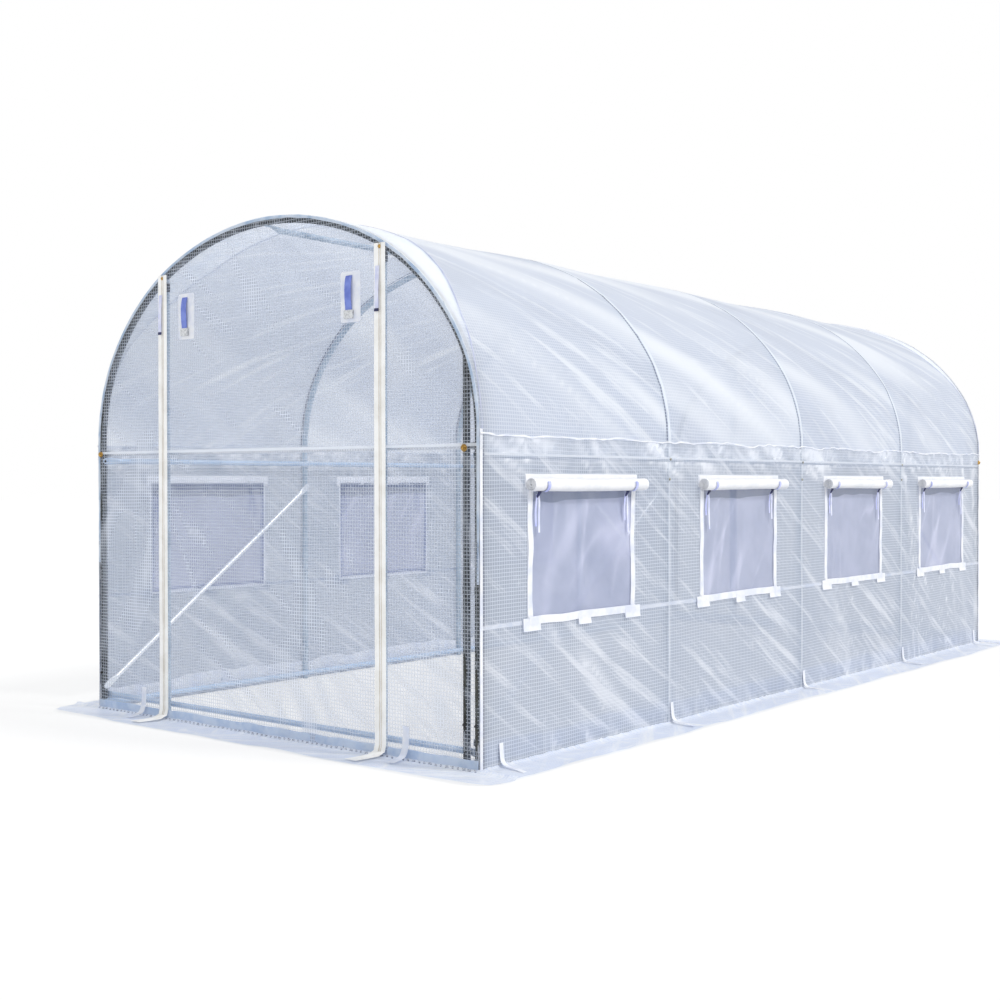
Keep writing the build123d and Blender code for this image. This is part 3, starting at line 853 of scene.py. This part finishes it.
def make_walls():
    """Side walls with their window openings."""
    tape_edges = np.array([-0.016, -0.013, 0.013, 0.016])
    steps = np.concatenate([
        [-window_half, window_half], tape_edges - window_half, tape_edges + window_half,
        [-header_half, header_half, -header_half - 0.003, header_half + 0.003]])
    ys = merged(
        np.arange(-gable_y, gable_y, 0.0205), [gable_y], gable_y - end_tube_shade_marks, end_tube_shade_marks - gable_y,
        *[middle + steps for middle in bay_middles], *[place + hoop_light_marks for place in inner_places])
    zs = merged(
        np.arange(0.0, seam_height, 0.0205), purlin_height + purlin_light_marks,
        [window_bottom - 0.016, window_bottom - 0.013, window_bottom, window_top],
        [header_top, header_top + 0.003, seam_height])
    z, y = np.meshgrid(zs, ys, indexing="ij")
    middle_z = (zs[:-1] + zs[1:]) / 2
    middle_y = (ys[:-1] + ys[1:]) / 2
    from_window = np.min([np.abs(middle_y - m) for m in bay_middles], axis=0)
    level = (middle_z > window_bottom) & (middle_z < window_top)
    keep = ~(level[:, None] & (from_window < window_half))
    off = np.min([np.abs(y - m) for m in bay_middles], axis=0)
    welded = (off < header_half + 0.001) & (z > window_top - 0.001) & (z < header_top + 0.001)
    welded |= (np.abs(off - window_half) < 0.0135) & (z > window_bottom - 0.014) & (z < header_top)
    welded |= (off < window_half + 0.014) & (np.abs(z - window_bottom) < 0.0135)
    mark, inside = hoop_shade_and_highlight(y)
    # Painted shade under the purlin and a painted highlight above it; the hoops' painted shade and highlight
    # go in weaker
    line = np.interp(z - purlin_height, purlin_light_marks, [0, -0.42, -0.42, 0.62, 0.62, 0])
    for name, way in sides:
        sink, fold = wall_sink(y, z, wall_seeds[name])
        fold = np.where(inside, np.maximum(fold, 0.5 * limited(mark)) + 0.38 * np.clip(mark, -1, 0), fold)
        fold = np.where(np.abs(line) > 0.02, line, fold)
        fold = with_end_tube_shade(np.where(welded, 1.0, fold), y, 0.6, -1, 1)
        points = join(way * (wall_x + sink), y, z)
        wall = film_piece(
            f"wall_film_{name}", "film_wall", points, join(y, z), fold, f"side_wall_{name}", keep=keep)


def make_gable_panel(name, node, x_low, x_high, end, seed):
    """One upright panel of a gable between two lines, cut to the arch at its top."""
    level_top = 1.058
    xs = np.linspace(x_low, x_high, max(14, round((x_high - x_low) / 0.02)) + 1)
    top = np.where(np.abs(xs) < wall_x - 0.0005, arch_height(xs, film_out), spring_height)
    low_rows = merged(np.linspace(0, level_top, 54), crossbar_height + bar_light_marks)[:, None]
    high_rows = np.linspace(0, 1, 44)[1:, None]
    z = np.vstack([low_rows + 0 * xs, level_top + high_rows * (top - level_top)])
    x = np.broadcast_to(xs, z.shape)
    way = np.sign(x_low + x_high) or 1
    fold = 0.8 * folds(x * way, z, -58, 0.075, 0.55, seed) + 0.4 * folds(x, z, 86, 0.06, 0.7, seed + 5)
    low = limited((0.12 - z) / 0.12)
    fold = limited(fold + 0.4 * low * np.abs(soft_noise(x / 0.025, z / 0.3, seed + 8)))
    near = limited((top - z) / 0.08)
    sink = (0.004 * fold + 0.003 * soft_noise(x / 0.3, z / 0.3, seed + 3) - 0.002) * near
    # Painted shade under the crossbar and a painted highlight above it
    line = np.interp(z - crossbar_height, bar_light_marks, [0, -0.55, -0.55, 0.85, 0.85, 0])
    mark = np.where(np.abs(line) > 0.02, line, 0.6 * fold)
    panel = film_piece(name, "film_gable", join(x, end * (gable_y + sink), z), join(x, z), mark, node)


def make_gables():
    """Front and back gables: a door panel between two fixed side panels, and the doubled lower edge."""
    for (name, end), seed in zip(ends, (301, 401)):
        for part, low, high in (("left", -wall_x, -door_x), ("right", door_x, wall_x)):
            node = f"gable_front_{part}" if end < 0 else "gable_back"
            make_gable_panel(
                f"gable_film_{name}_{part}", node, low, high, end, seed + len(part))
        make_gable_panel(
            f"door_film_{name}", f"door_{name}", -door_x, door_x, end, seed + len("door"))
    xs = np.linspace(-wall_x + 0.004, wall_x - 0.004, 120)
    for name, end in ends:
        path = join(xs, end * (gable_y + 0.0008), 0.027 + 0.0025 * soft_noise(xs / 0.08, 0, 91 + end))
        tape_piece(f"gable_hem_{name}", "rail_blue", path[::-end], (0, 0, 1), 0.030, 0.0012)


def make_bands():
    """The lap between roof and wall, the welded band below the windows and the hem by the ground."""
    ys = np.linspace(-gable_y, gable_y, 300)
    share = np.linspace(0, 1, 6)[:, None]
    for (name, way), seed in zip(sides, (520, 510)):

        def band(title, paint, low, high, size, band_seed, out, depth):
            z = low + share * (high - low)
            y = np.broadcast_to(ys, z.shape)
            puff = crumple(y, z, size, band_seed)
            points = join(way * (wall_x + out + depth * puff), y, z)
            return film_piece(title, paint, points, join(y, z), puff)

        def tape(title, paint, out, z, width, gauge):
            tape_piece(title, paint, join(way * (wall_x + out), ys, z)[::way], (0, 0, 1), width, gauge)

        wave = 0.006 * soft_noise(ys / 0.16, 0, seed) + 0.004 * soft_noise(ys / 0.045, 0, seed + 1)
        low, high = seam_height - 0.052 + 2 * wave, seam_height + 0.006 + wave
        lap = band(f"lap_band_{name}", "hem_faint", low, high, 0.03, seed + 2, 0.0022, 0.003)
        puffed = 0.0034 * (1 + 1.2 * np.abs(soft_noise(ys / 0.03, 0, seed + 8)))
        tape(f"lap_edge_{name}", "tape_white", 0.0052, high - 0.003, puffed, 0.0012)
        sink, _ = wall_sink(ys, weld_height, wall_seeds[name])
        tape(f"weld_band_{name}", "hem_white", sink + 0.0008, weld_height, 0.013, 0.0006)
        low = 0.022 + 0.004 * soft_noise(ys / 0.07, 0, seed + 3)
        high = 0.088 + 0.012 * soft_noise(ys / 0.09, 0, seed + 4)
        hem = band(f"ground_hem_{name}", "tape_white", low, high, 0.05, seed + 6, -0.004, -0.009)


# Windows

def make_screen(side, way, number, middle, seed):
    lap_half = window_half + screen_lap
    ys = np.linspace(-lap_half, lap_half, 46)
    zs = np.linspace(window_bottom - screen_lap, window_top + 0.01, 36)
    zs = np.unique(np.concatenate([zs, np.arange(0.846, 0.876, 0.003)]))
    z, y = np.meshgrid(zs, ys, indexing="ij")
    # Painted shadow under the roll above a wavy line, and painted highlight on the folds below it
    shade_from = 0.861 + 0.006 * soft_noise(y / 0.09, 0, seed + 9) + 0.004 * y / window_half
    fold = folds(y, z, 52, 0.085, 0.5, seed, 4.0) + 0.7 * folds(y, z, 80, 0.07, 0.4, seed + 4)
    edge = limited((lap_half - np.abs(y)) / 0.05) * limited((z - window_bottom) / 0.05)
    x = way * (wall_x - 0.0022 + 0.005 * fold * edge - 0.004 * edge)
    mark = np.where(z > shade_from, -0.8 * limited((z - shade_from) / 0.003), limited(0.8 * fold))
    name, points = f"screen_{side}_{number}", join(x, y + middle, z)
    screen = film_piece(name, "screen_cloth", points, join(y, z), mark, f"screens_{side}")


def flap_path():
    """Section of a rolled flap: three points down from its header, then round and round inwards."""
    turns, core = 5.0, 0.0045
    header = [(header_lift, header_top), (0.0030, header_top - 0.015), (header_lift, roll_height + 0.010)]
    angles = np.linspace(math.pi, math.pi + 2 * math.pi * turns, round(turns * 30))
    radii = np.linspace(roll_radius, core, len(angles))
    wound = join(roll_out + radii * np.cos(angles), roll_height + radii * np.sin(angles))
    return np.vstack([header, wound])


def make_flap(side, way, number, middle, seed):
    path = flap_path()
    steps = np.arange(len(path))
    wound = (steps > 2)[:, None]
    ys = np.linspace(-roll_half, roll_half, 26)
    scale = np.where(wound, 1 + 0.03 * soft_noise(ys / 0.12, 0.5, seed), 1.0)
    x, z = [centre + (path[:, k, None] - centre) * scale for k, centre in enumerate((roll_out, roll_height))]
    slack = 1 - 0.004 * soft_noise(steps / 20.0, 0.5, seed + 3)[:, None]
    reach = np.where(wound, 1.0, header_half / roll_half) * slack
    z = z + 0.0016 * np.sin(7 * ys + seed) * wound
    points = join(way * (wall_x + x), middle + roll_shift * wound + ys * reach, z)
    s, y = np.meshgrid(run(path), ys, indexing="ij")
    flap = film_piece(f"roll_{side}_{number}", "roll_white", points, join(y, s), None, f"rolls_{side}")


def make_border(side, way, number, middle, seed):
    """White tapes down both sides and along the bottom of a window, and three tabs."""
    shape = Shape()
    zs = np.linspace(header_top - 0.02, window_bottom - 0.012, 26)
    for edge in (-1, 1):
        wave = 0.005 * soft_noise(zs / 0.09, edge + 2.5, seed)
        lift = 0.0012 + 0.0022 * np.abs(soft_noise(zs / 0.07, edge + 7.5, seed))
        path = join(way * (wall_x + lift), middle + edge * (window_half + 0.002) + wave, zs)
        width = tape_width * (1 + 0.10 * soft_noise(zs / 0.05, edge + 4.5, seed))
        strip(shape, path, (0, -way, 0), width, 0.0013)
    ys = np.linspace(-window_half - 0.014, window_half + 0.014, 34)
    wave = 0.0035 * soft_noise(ys / 0.12, 1.5, seed + 1)
    lift = 0.0026 + 0.002 * np.abs(soft_noise(ys / 0.08, 3.5, seed + 1))
    path = join(way * (wall_x + lift), middle + ys, window_bottom - 0.002 + wave)
    strip(shape, path[::way], (0, 0, 1), 0.027, 0.0013)
    tab = curve([(0.0040, 0, 0.008), (0.0052, 0, -0.008), (0.0050, 0, -0.020), (0.0075, 0, -0.035)], 9)
    for shift, width in ((-0.303, 0.094), (0.0, 0.074), (0.303, 0.097)):
        path = tab * [way, 1, 1] + [way * wall_x, middle + shift, window_bottom]
        strip(shape, path, (0, -way, 0), width, 0.0016, 0.1)
    shape.piece(f"window_tape_{side}_{number}", "tape_white", f"borders_{side}")


def make_ties(side, way, number, middle, seed):
    """Two bands round a rolled flap, each with a knot and two hanging tails."""
    rng = np.random.default_rng(seed)
    bands, pale, knots = Shape(), Shape(), Shape()
    angles = np.linspace(-math.pi - 0.2, 0.45, 24)
    radius = roll_radius + 0.0014
    knot = curve([
        (0.016, 0.006, -0.021), (0.018, 0.003, -0.027), (0.0145, 0.0, -0.034), (0.0105, -0.001, -0.041)], 12)
    for y in (middle - tie_spread, middle + tie_spread):
        lean = rng.uniform(-0.006, 0.006)
        loop = join(
            way * (wall_x + roll_out + radius * np.cos(angles)), y + lean * np.cos(angles + 0.6),
            roll_height + radius * np.sin(angles))
        strip(bands, loop[::way], (0, 1, 0), 0.016, 0.0009)
        place = [way * wall_x, y - 0.020, roll_height]
        path = knot * [way, 1, 1] + place
        strip(knots, path[::way], (0, 1, 0), np.linspace(0.017, 0.006, 12)[::way], 0.004)
        drops = rng.uniform(0.085, 0.110), rng.uniform(0.110, 0.150)
        for shape, shift, drop in zip((bands, pale), (-0.004, 0.016), drops):
            swing = rng.uniform(-0.008, 0.008)
            tail = curve([
                (0.012, shift * 0.3, -0.032), (0.0105, shift * 0.8, -0.056),
                (0.007, shift + swing * 0.5, -0.032 - 0.55 * drop),
                (0.008, shift + swing, -0.032 - drop)], 16)
            path = tail * [way, 1, 1] + place
            strip(shape, path[::way], (0, 1, 0), 0.0095, 0.0009)
    name = f"roll_tie_{side}_{number}"
    bands.piece(f"{name}_band", "strap_lilac", f"ties_{side}")
    pale.piece(f"{name}_pale", "strap_pale")
    knots.piece(f"{name}_knot", "knot_navy")


def make_windows():
    for side, way in sides:
        for number, middle in enumerate(bay_middles, start=1):
            seed = 600 + 40 * number + (17 if way > 0 else 0)
            for step, make in enumerate((make_screen, make_flap, make_border, make_ties)):
                make(side, way, number, middle, seed + step)


wound_end = [
    (0.0222, -0.010), (0.0222, 0.0062), (0.0180, 0.0070), (0.0176, 0.0035), (0.0164, 0.0035),
    (0.0160, 0.0074), (0.0108, 0.0078), (0.0104, 0.0040), (0.0092, 0.0040), (0.0088, 0.0080),
    (0.0040, 0.0083), (0.0034, 0.0010)]


def make_roll_cores():
    """The tight middle of each rolled flap, just inside its ends."""
    for side, way in sides:
        shape = Shape()
        for y in bay_middles:
            for end in (-1, 1):
                place = (way * (wall_x + roll_out), y + roll_shift + end * (roll_half - 0.0085), roll_height)
                turned(shape, place, (0, end, 0), wound_end, 28)
        shape.piece(f"roll_cores_{side}", "roll_white")


# Doors

def make_zips():
    """Zips beside the doors: two tapes with a coil between them, their ends turned out on the skirt."""
    tapes, coils = Shape(), Shape()
    for end in (-1, 1):
        for x in (-door_x, door_x):
            top = float(arch_height(x)) + 0.004
            face = end * (gable_y + 0.0050)
            path = [(x, face, z) for z in np.linspace(top, 0.045, 40)]
            for share, out, z in (
                    (0.06, 0.005, 0.022), (0.25, 0.030, 0.0105),
                    (0.60, 0.075, 0.0085), (1.0, 0.115, 0.0070)):
                path.append((x + 0.030 * end * share, face + end * out, z))
            path = np.array(path)
            path[:, 0] += 0.0016 * soft_noise(path[:, 2] / 0.3, 0.5, 77)
            for shift in (-0.0132, 0.0132):
                strip(tapes, path + [shift, 0, 0], (-end, 0, 0), 0.0250, 0.0012)
            coil = path[:41] - [0, end * 0.0006, 0]
            for shift in (-0.0030, 0.0060):
                strip(coils, coil + [shift, 0, 0], (-end, 0, 0), 0.0036, 0.0018, 0.6)
    tapes.piece("zip_tapes", "zip_cream", "zips")
    coils.piece("zip_coils", "coil_beige")


def rounded_plate(shape, centre, half_x, half_z, corner, y, gauge, end):
    """A thin upright plate with rounded corners."""
    outline = []
    for quarter, (sx, sz) in enumerate(((1, 1), (-1, 1), (-1, -1), (1, -1))):
        for angle in np.linspace(quarter * math.pi / 2, (quarter + 1) * math.pi / 2, 5):
            outline.append((sx * (half_x - corner) + corner * math.cos(angle),
                            sz * (half_z - corner) + corner * math.sin(angle)))
    outline = np.array(outline)
    shape.grid([
        join(centre[0] + outline[:, 0] * scale, y + end * gauge * depth, centre[1] + outline[:, 1] * scale)
        for scale, depth in ((1.0, 0.0), (1.0, 0.7), (0.97, 1.0), (0.5, 1.15))], wrap=True, caps=True)


def make_door_ties():
    """Straps for a rolled door: a patch, a strap over it and a buckle. A tape hangs by each zip."""
    patches, straps, buckles, pale, tips = Shape(), Shape(), Shape(), Shape(), Shape()
    high = door_tie_height
    for end in (-1, 1):
        for x in (-door_tie_x, door_tie_x):
            y = end * (gable_y + 0.0012)
            rounded_plate(patches, (x, high), 0.0475, 0.087, 0.010, y, 0.0016, end)
            lift = [(x - 0.005, y + end * d, high + z) for d, z in (
                (0.0025, 0.072), (0.0060, 0.060), (0.0095, 0.030),
                (0.0085, -0.010), (0.0055, -0.040), (0.0045, -0.070))]
            strip(straps, curve(lift, 20), (-end, 0, 0), 0.030, 0.0012)
            buckle = (x - 0.004, high - 0.060)
            rounded_plate(buckles, buckle, 0.021, 0.015, 0.004, y + end * 0.003, 0.0075, end)
        for x in (-door_x - 0.008, door_x - 0.008):
            hang = [(x, end * (gable_y + d), z) for d, z in (
                (0.0085, 1.650), (0.0100, 1.610), (0.0120, 1.560), (0.0110, 1.505))]
            strip(pale, curve(hang, 16), (-end, 0, 0), 0.018, 0.0012)
            tip = [(x, end * (gable_y + 0.0122), z) for z in (1.507, 1.502, 1.497)]
            strip(tips, tip, (-end, 0, 0), 0.019, 0.0020)
    patches.piece("door_tie_patches", "tape_white", "door_ties")
    straps.piece("door_tie_straps", "strap_blue")
    buckles.piece("door_tie_buckles", "buckle_grey")
    pale.piece("zip_pull_straps", "strap_pale")
    tips.piece("zip_pull_tips", "knot_navy")


def make_edge_tapes():
    """White tapes down the upright corners of the side walls."""
    shape = Shape()
    zs = np.linspace(seam_height + 0.02, 0.012, 40)
    for way in (-1, 1):
        for end in (-1, 1):
            wave = 0.0012 * soft_noise(zs / 0.12, 5.5 + way + 3 * end, 88)
            path = join(way * (wall_x + header_lift + np.abs(wave)), end * (gable_y - 0.008) + wave, zs)
            strip(shape, path, (0, -way, 0), 0.013, 0.0012)
    shape.piece("corner_tapes", "tape_white", "edge_tapes")


# Skirt

def skirt_height(a, b, seed):
    """Height of the skirt film above the ground, with gathers near the wall and lazy waves outside."""
    gathers = np.abs(soft_noise(a / 0.018, b / 0.09, seed)) * 0.004 * limited(1 - b / skirt_width)
    curl = 0.006 * limited(0.35 + soft_noise(a / 0.21, 0, seed + 3)) * limited((b - 0.11) / 0.045)
    waves = limited(soft_noise(a / 0.13, b / 0.12, seed + 1)) * 0.007
    rise = 0.010 * limited(1 - b / 0.020) ** 2
    return 0.0028 + curl + gathers + waves * np.sin(math.pi * limited(b / skirt_width)) + rise


def skirt_mark(a, b, size, seams, seed):
    """White gathers by the wall, a bright outer edge of painted highlight on the hem over a stitched line, a
    slit of painted shade at each seam, and on the ends dark dashes of painted contact shadow at the gable's
    foot.
    """
    mark = 0.7 * limited(np.abs(soft_noise(a / size, b / 0.1, seed)) * (1 - b / skirt_width))
    mark = np.maximum(mark, 0.75 * folds(a, b, 38, 0.022, 0.10, seed + 21, 4.0))
    edge = np.interp(b, [*skirt_stitches, skirt_width], [0, -0.22, -0.22, 1, 1])
    mark = np.where(b > skirt_stitches[0] + 0.0001, edge, mark)
    if not seams:
        # Dark dashes at the foot of the gable: painted contact shadow
        contact_shadow_dashes = np.where(np.sin(2 * math.pi * (a - 0.8 * b) / 0.024) > -0.2, -0.75, 0.3)
        mark = np.where((b > 0.0039) & (b < 0.0115) & (np.abs(a) < wall_x), contact_shadow_dashes, mark)
    for seam in seams:
        slit = np.interp(a - seam - 0.05 * b, slit_shade_marks, [0, 1, 1, -0.8, 1, 1, 0])
        mark = np.where(np.abs(slit) > 0.02, slit, mark)
    return mark


def make_skirts():
    bs = merged(np.linspace(0, skirt_width, 13), skirt_stitches, [0.002, 0.004, 0.011, 0.0135])
    ys = merged(np.linspace(-gable_y, gable_y, 760), *[seam + slit_shade_marks for seam in skirt_seams])
    for (name, way), seed in zip(sides, (720, 700)):
        b, y = np.meshgrid(bs, ys, indexing="ij")
        reach = 0.006 * soft_noise(y / 0.3, 0, seed + 5) * b / skirt_width
        points = join(way * (wall_x + b + reach), y, skirt_height(y, b, seed))
        mark = skirt_mark(y + 0.05 * b, b, 0.02, skirt_seams, seed)
        skirt = film_piece(f"skirt_film_{name}", "film_skirt", points, join(y, b), mark, f"skirt_{name}")
    xs = np.linspace(-wall_x - skirt_width, wall_x + skirt_width, 420)
    for (name, end), seed in zip(ends, (740, 760)):
        b, x = np.meshgrid(bs, xs, indexing="ij")
        beyond = np.clip(np.abs(x) - (wall_x + skirt_width - skirt_corner), 0, skirt_corner)
        limit = skirt_width - skirt_corner + np.sqrt(np.maximum(skirt_corner**2 - beyond**2, 0))
        mark = skirt_mark(x, b, 0.016, [], seed)
        b = b * limit / skirt_width
        points = join(x, end * (gable_y + b), skirt_height(x, b, seed))
        skirt = film_piece(f"skirt_film_{name}", "film_skirt", points, join(x, b), mark, f"skirt_{name}")


def make_skirt_straps():
    """Short white straps from the wall beside each hoop out over the skirt, and two at each end."""
    shape = Shape()
    side_strap = curve([
        (0.0045, 0, 0.085), (0.0060, 0.001, 0.055), (0.0100, 0.002, 0.026), (0.0300, -0.002, 0.0145),
        (0.0700, -0.010, 0.0125), (0.1150, -0.020, 0.0085)], 24)
    end_strap = curve([
        (0.0, 0.0050, 0.118), (0.001, 0.0060, 0.080), (0.0, 0.0085, 0.045), (-0.002, 0.020, 0.020),
        (-0.004, 0.045, 0.013), (0.002, 0.080, 0.010)], 26)
    for way in (-1, 1):
        for y in (front + 0.090, *[place + 0.020 for place in inner_places], back - 0.080):
            strip(shape, side_strap * [way, 1, 1] + [way * wall_x, y, 0], (0, -way, 0), 0.020, 0.0012)
    for end in (-1, 1):
        for x in (-0.705, 0.695):
            strip(shape, end_strap * [-end, end, 1] + [x, end * gable_y, 0], (-end, 0, 0), 0.028, 0.0012)
    shape.piece("skirt_tie_straps", "tape_white", "skirt_straps")


# Fasteners

dome_head = [(0.0, 0.0), (0.0115, 0.0), (0.0122, 0.0012), (0.0105, 0.0024), (0.0098, 0.0050),
             (0.0078, 0.0082), (0.0042, 0.0103), (0.0008, 0.0110)]
small_head = [(0.0, 0.0), (0.0052, 0.0), (0.0052, 0.0018), (0.0040, 0.0034), (0.0006, 0.0040)]


def make_bolts():
    gold, dark, pale = Shape(), Shape(), Shape()
    post_head = [(0.6 * radius, 0.6 * height) for radius, height in dome_head]
    out = tube_radius + 0.0030
    high = crossbar_height - 0.007
    for place, direction in (
        ((gable_post_x + 0.002, front - out, high), (0.1, -1, 0)),
        ((-half_width - out, front, high - 0.006), (-1, 0, 0)),
        ((-half_width + 0.004, front - out, high + 0.004), (0, -1, 0)),
        ((half_width + out, back, high), (1, 0, 0)),
        ((-half_width - out, back, high), (-1, 0, 0)),
        ((-half_width, back + out, high), (0, 1, 0)),
        ((half_width, back + out, high), (0, 1, 0)),
    ):
        turned(gold, place, direction, dome_head)
    for x in (-door_x, door_x):
        turned(gold, (x, front - 0.020, float(arch_height(door_x)) - 0.008), (0, -1, 0.2), post_head)
    for way in (-1, 1):
        for y in inner_places:
            for z, shift in ((purlin_height, 0.012), (purlin_height - 0.076, 0.006)):
                turned(pale, (way * (wall_x + 0.0015), y + shift, z), (way, 0, 0), small_head, 12)
    low = 0.150
    for x, z in (
            (gable_post_x, low), (half_width, low), (-half_width, low), (0.034 - half_width, high - 0.024)):
        turned(dark, (x, front - out, z), (0, -1, 0), small_head, 12)
    gold.piece("dome_bolts", "bolt_gold")
    dark.piece("small_bolts", "fitting_dark")
    pale.piece("wall_grommets", "fitting_pale")


make_arches()
make_legs()
make_posts()
make_rails()
roof, roof_girth = make_roof()
seams = make_roof_hems()
make_arch_edges()
make_walls()
make_gables()
make_bands()
make_windows()
make_roll_cores()
make_zips()
make_door_ties()
make_edge_tapes()
make_skirts()
make_skirt_straps()
make_bolts()

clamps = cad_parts["post_clamps"]
clamps.data.materials.clear()
clamps.data.materials.append(paints["fitting_dark"][0])


# Stage, lights and camera

def make_stage():
    """A white floor that still takes the object's shadow."""
    paint = Paint("floor_white")
    tone = paint.blend(paint.noise(paint.place(), 0.8, 2.0), (0.86, 0.86, 0.86, 1), (0.90, 0.90, 0.90, 1))
    glow = paint.add("Emission", {"Color": (1, 1, 1, 1), "Strength": 1.02})
    share = paint.sum("MULTIPLY", paint.seen_directly(), 0.70)
    reach = 60.0
    mesh = bpy.data.meshes.new("floor")
    mesh.from_pydata(
        [(-reach, -reach, 0), (reach, -reach, 0), (reach, reach, 0), (-reach, reach, 0)], [], [(0, 1, 2, 3)])
    mesh.materials.append(paint.done(paint.mixed(share, paint.surface(tone, 0.9), glow)))
    floor = bpy.data.objects.new("floor", mesh)
    bpy.context.scene.collection.objects.link(floor)


def make_light():
    """A soft, slightly cool fill that looks white, and one warm sun."""
    paint = Paint("studio", "World")
    fill = paint.add("Background", {"Color": (0.97, 0.985, 1.0, 1), "Strength": 0.86})
    shown = paint.add("Background", {"Color": (1, 1, 1, 1), "Strength": 1.0})
    bpy.context.scene.world = paint.done(paint.mixed(paint.seen_directly(), fill, shown))
    sun = bpy.data.lights.new("key", "SUN")
    sun.energy = 1.7
    sun.angle = math.radians(9)
    sun.color = (1.0, 0.985, 0.96)
    lamp = bpy.data.objects.new("key", sun)
    lamp.rotation_mode = "QUATERNION"
    lamp.rotation_quaternion = Vector((0.66, 0.22, 0.72)).to_track_quat("Z", "Y")
    bpy.context.scene.collection.objects.link(lamp)


def make_camera():
    data = bpy.data.cameras.new("camera")
    data.lens = camera_lens
    data.sensor_width = sensor_width
    data.clip_end = 200.0
    camera = bpy.data.objects.new("camera", data)
    bpy.context.scene.collection.objects.link(camera)
    place = Matrix.Translation(camera_place)
    for angle, axis in ((camera_yaw, "Z"), (math.pi / 2 + camera_pitch, "X"), (camera_roll, "Z")):
        place = place @ Matrix.Rotation(angle, 4, axis)
    camera.matrix_world = place
    bpy.context.scene.camera = camera


make_stage()
make_light()
make_camera()
bpy.context.scene.view_settings.view_transform = "Standard"
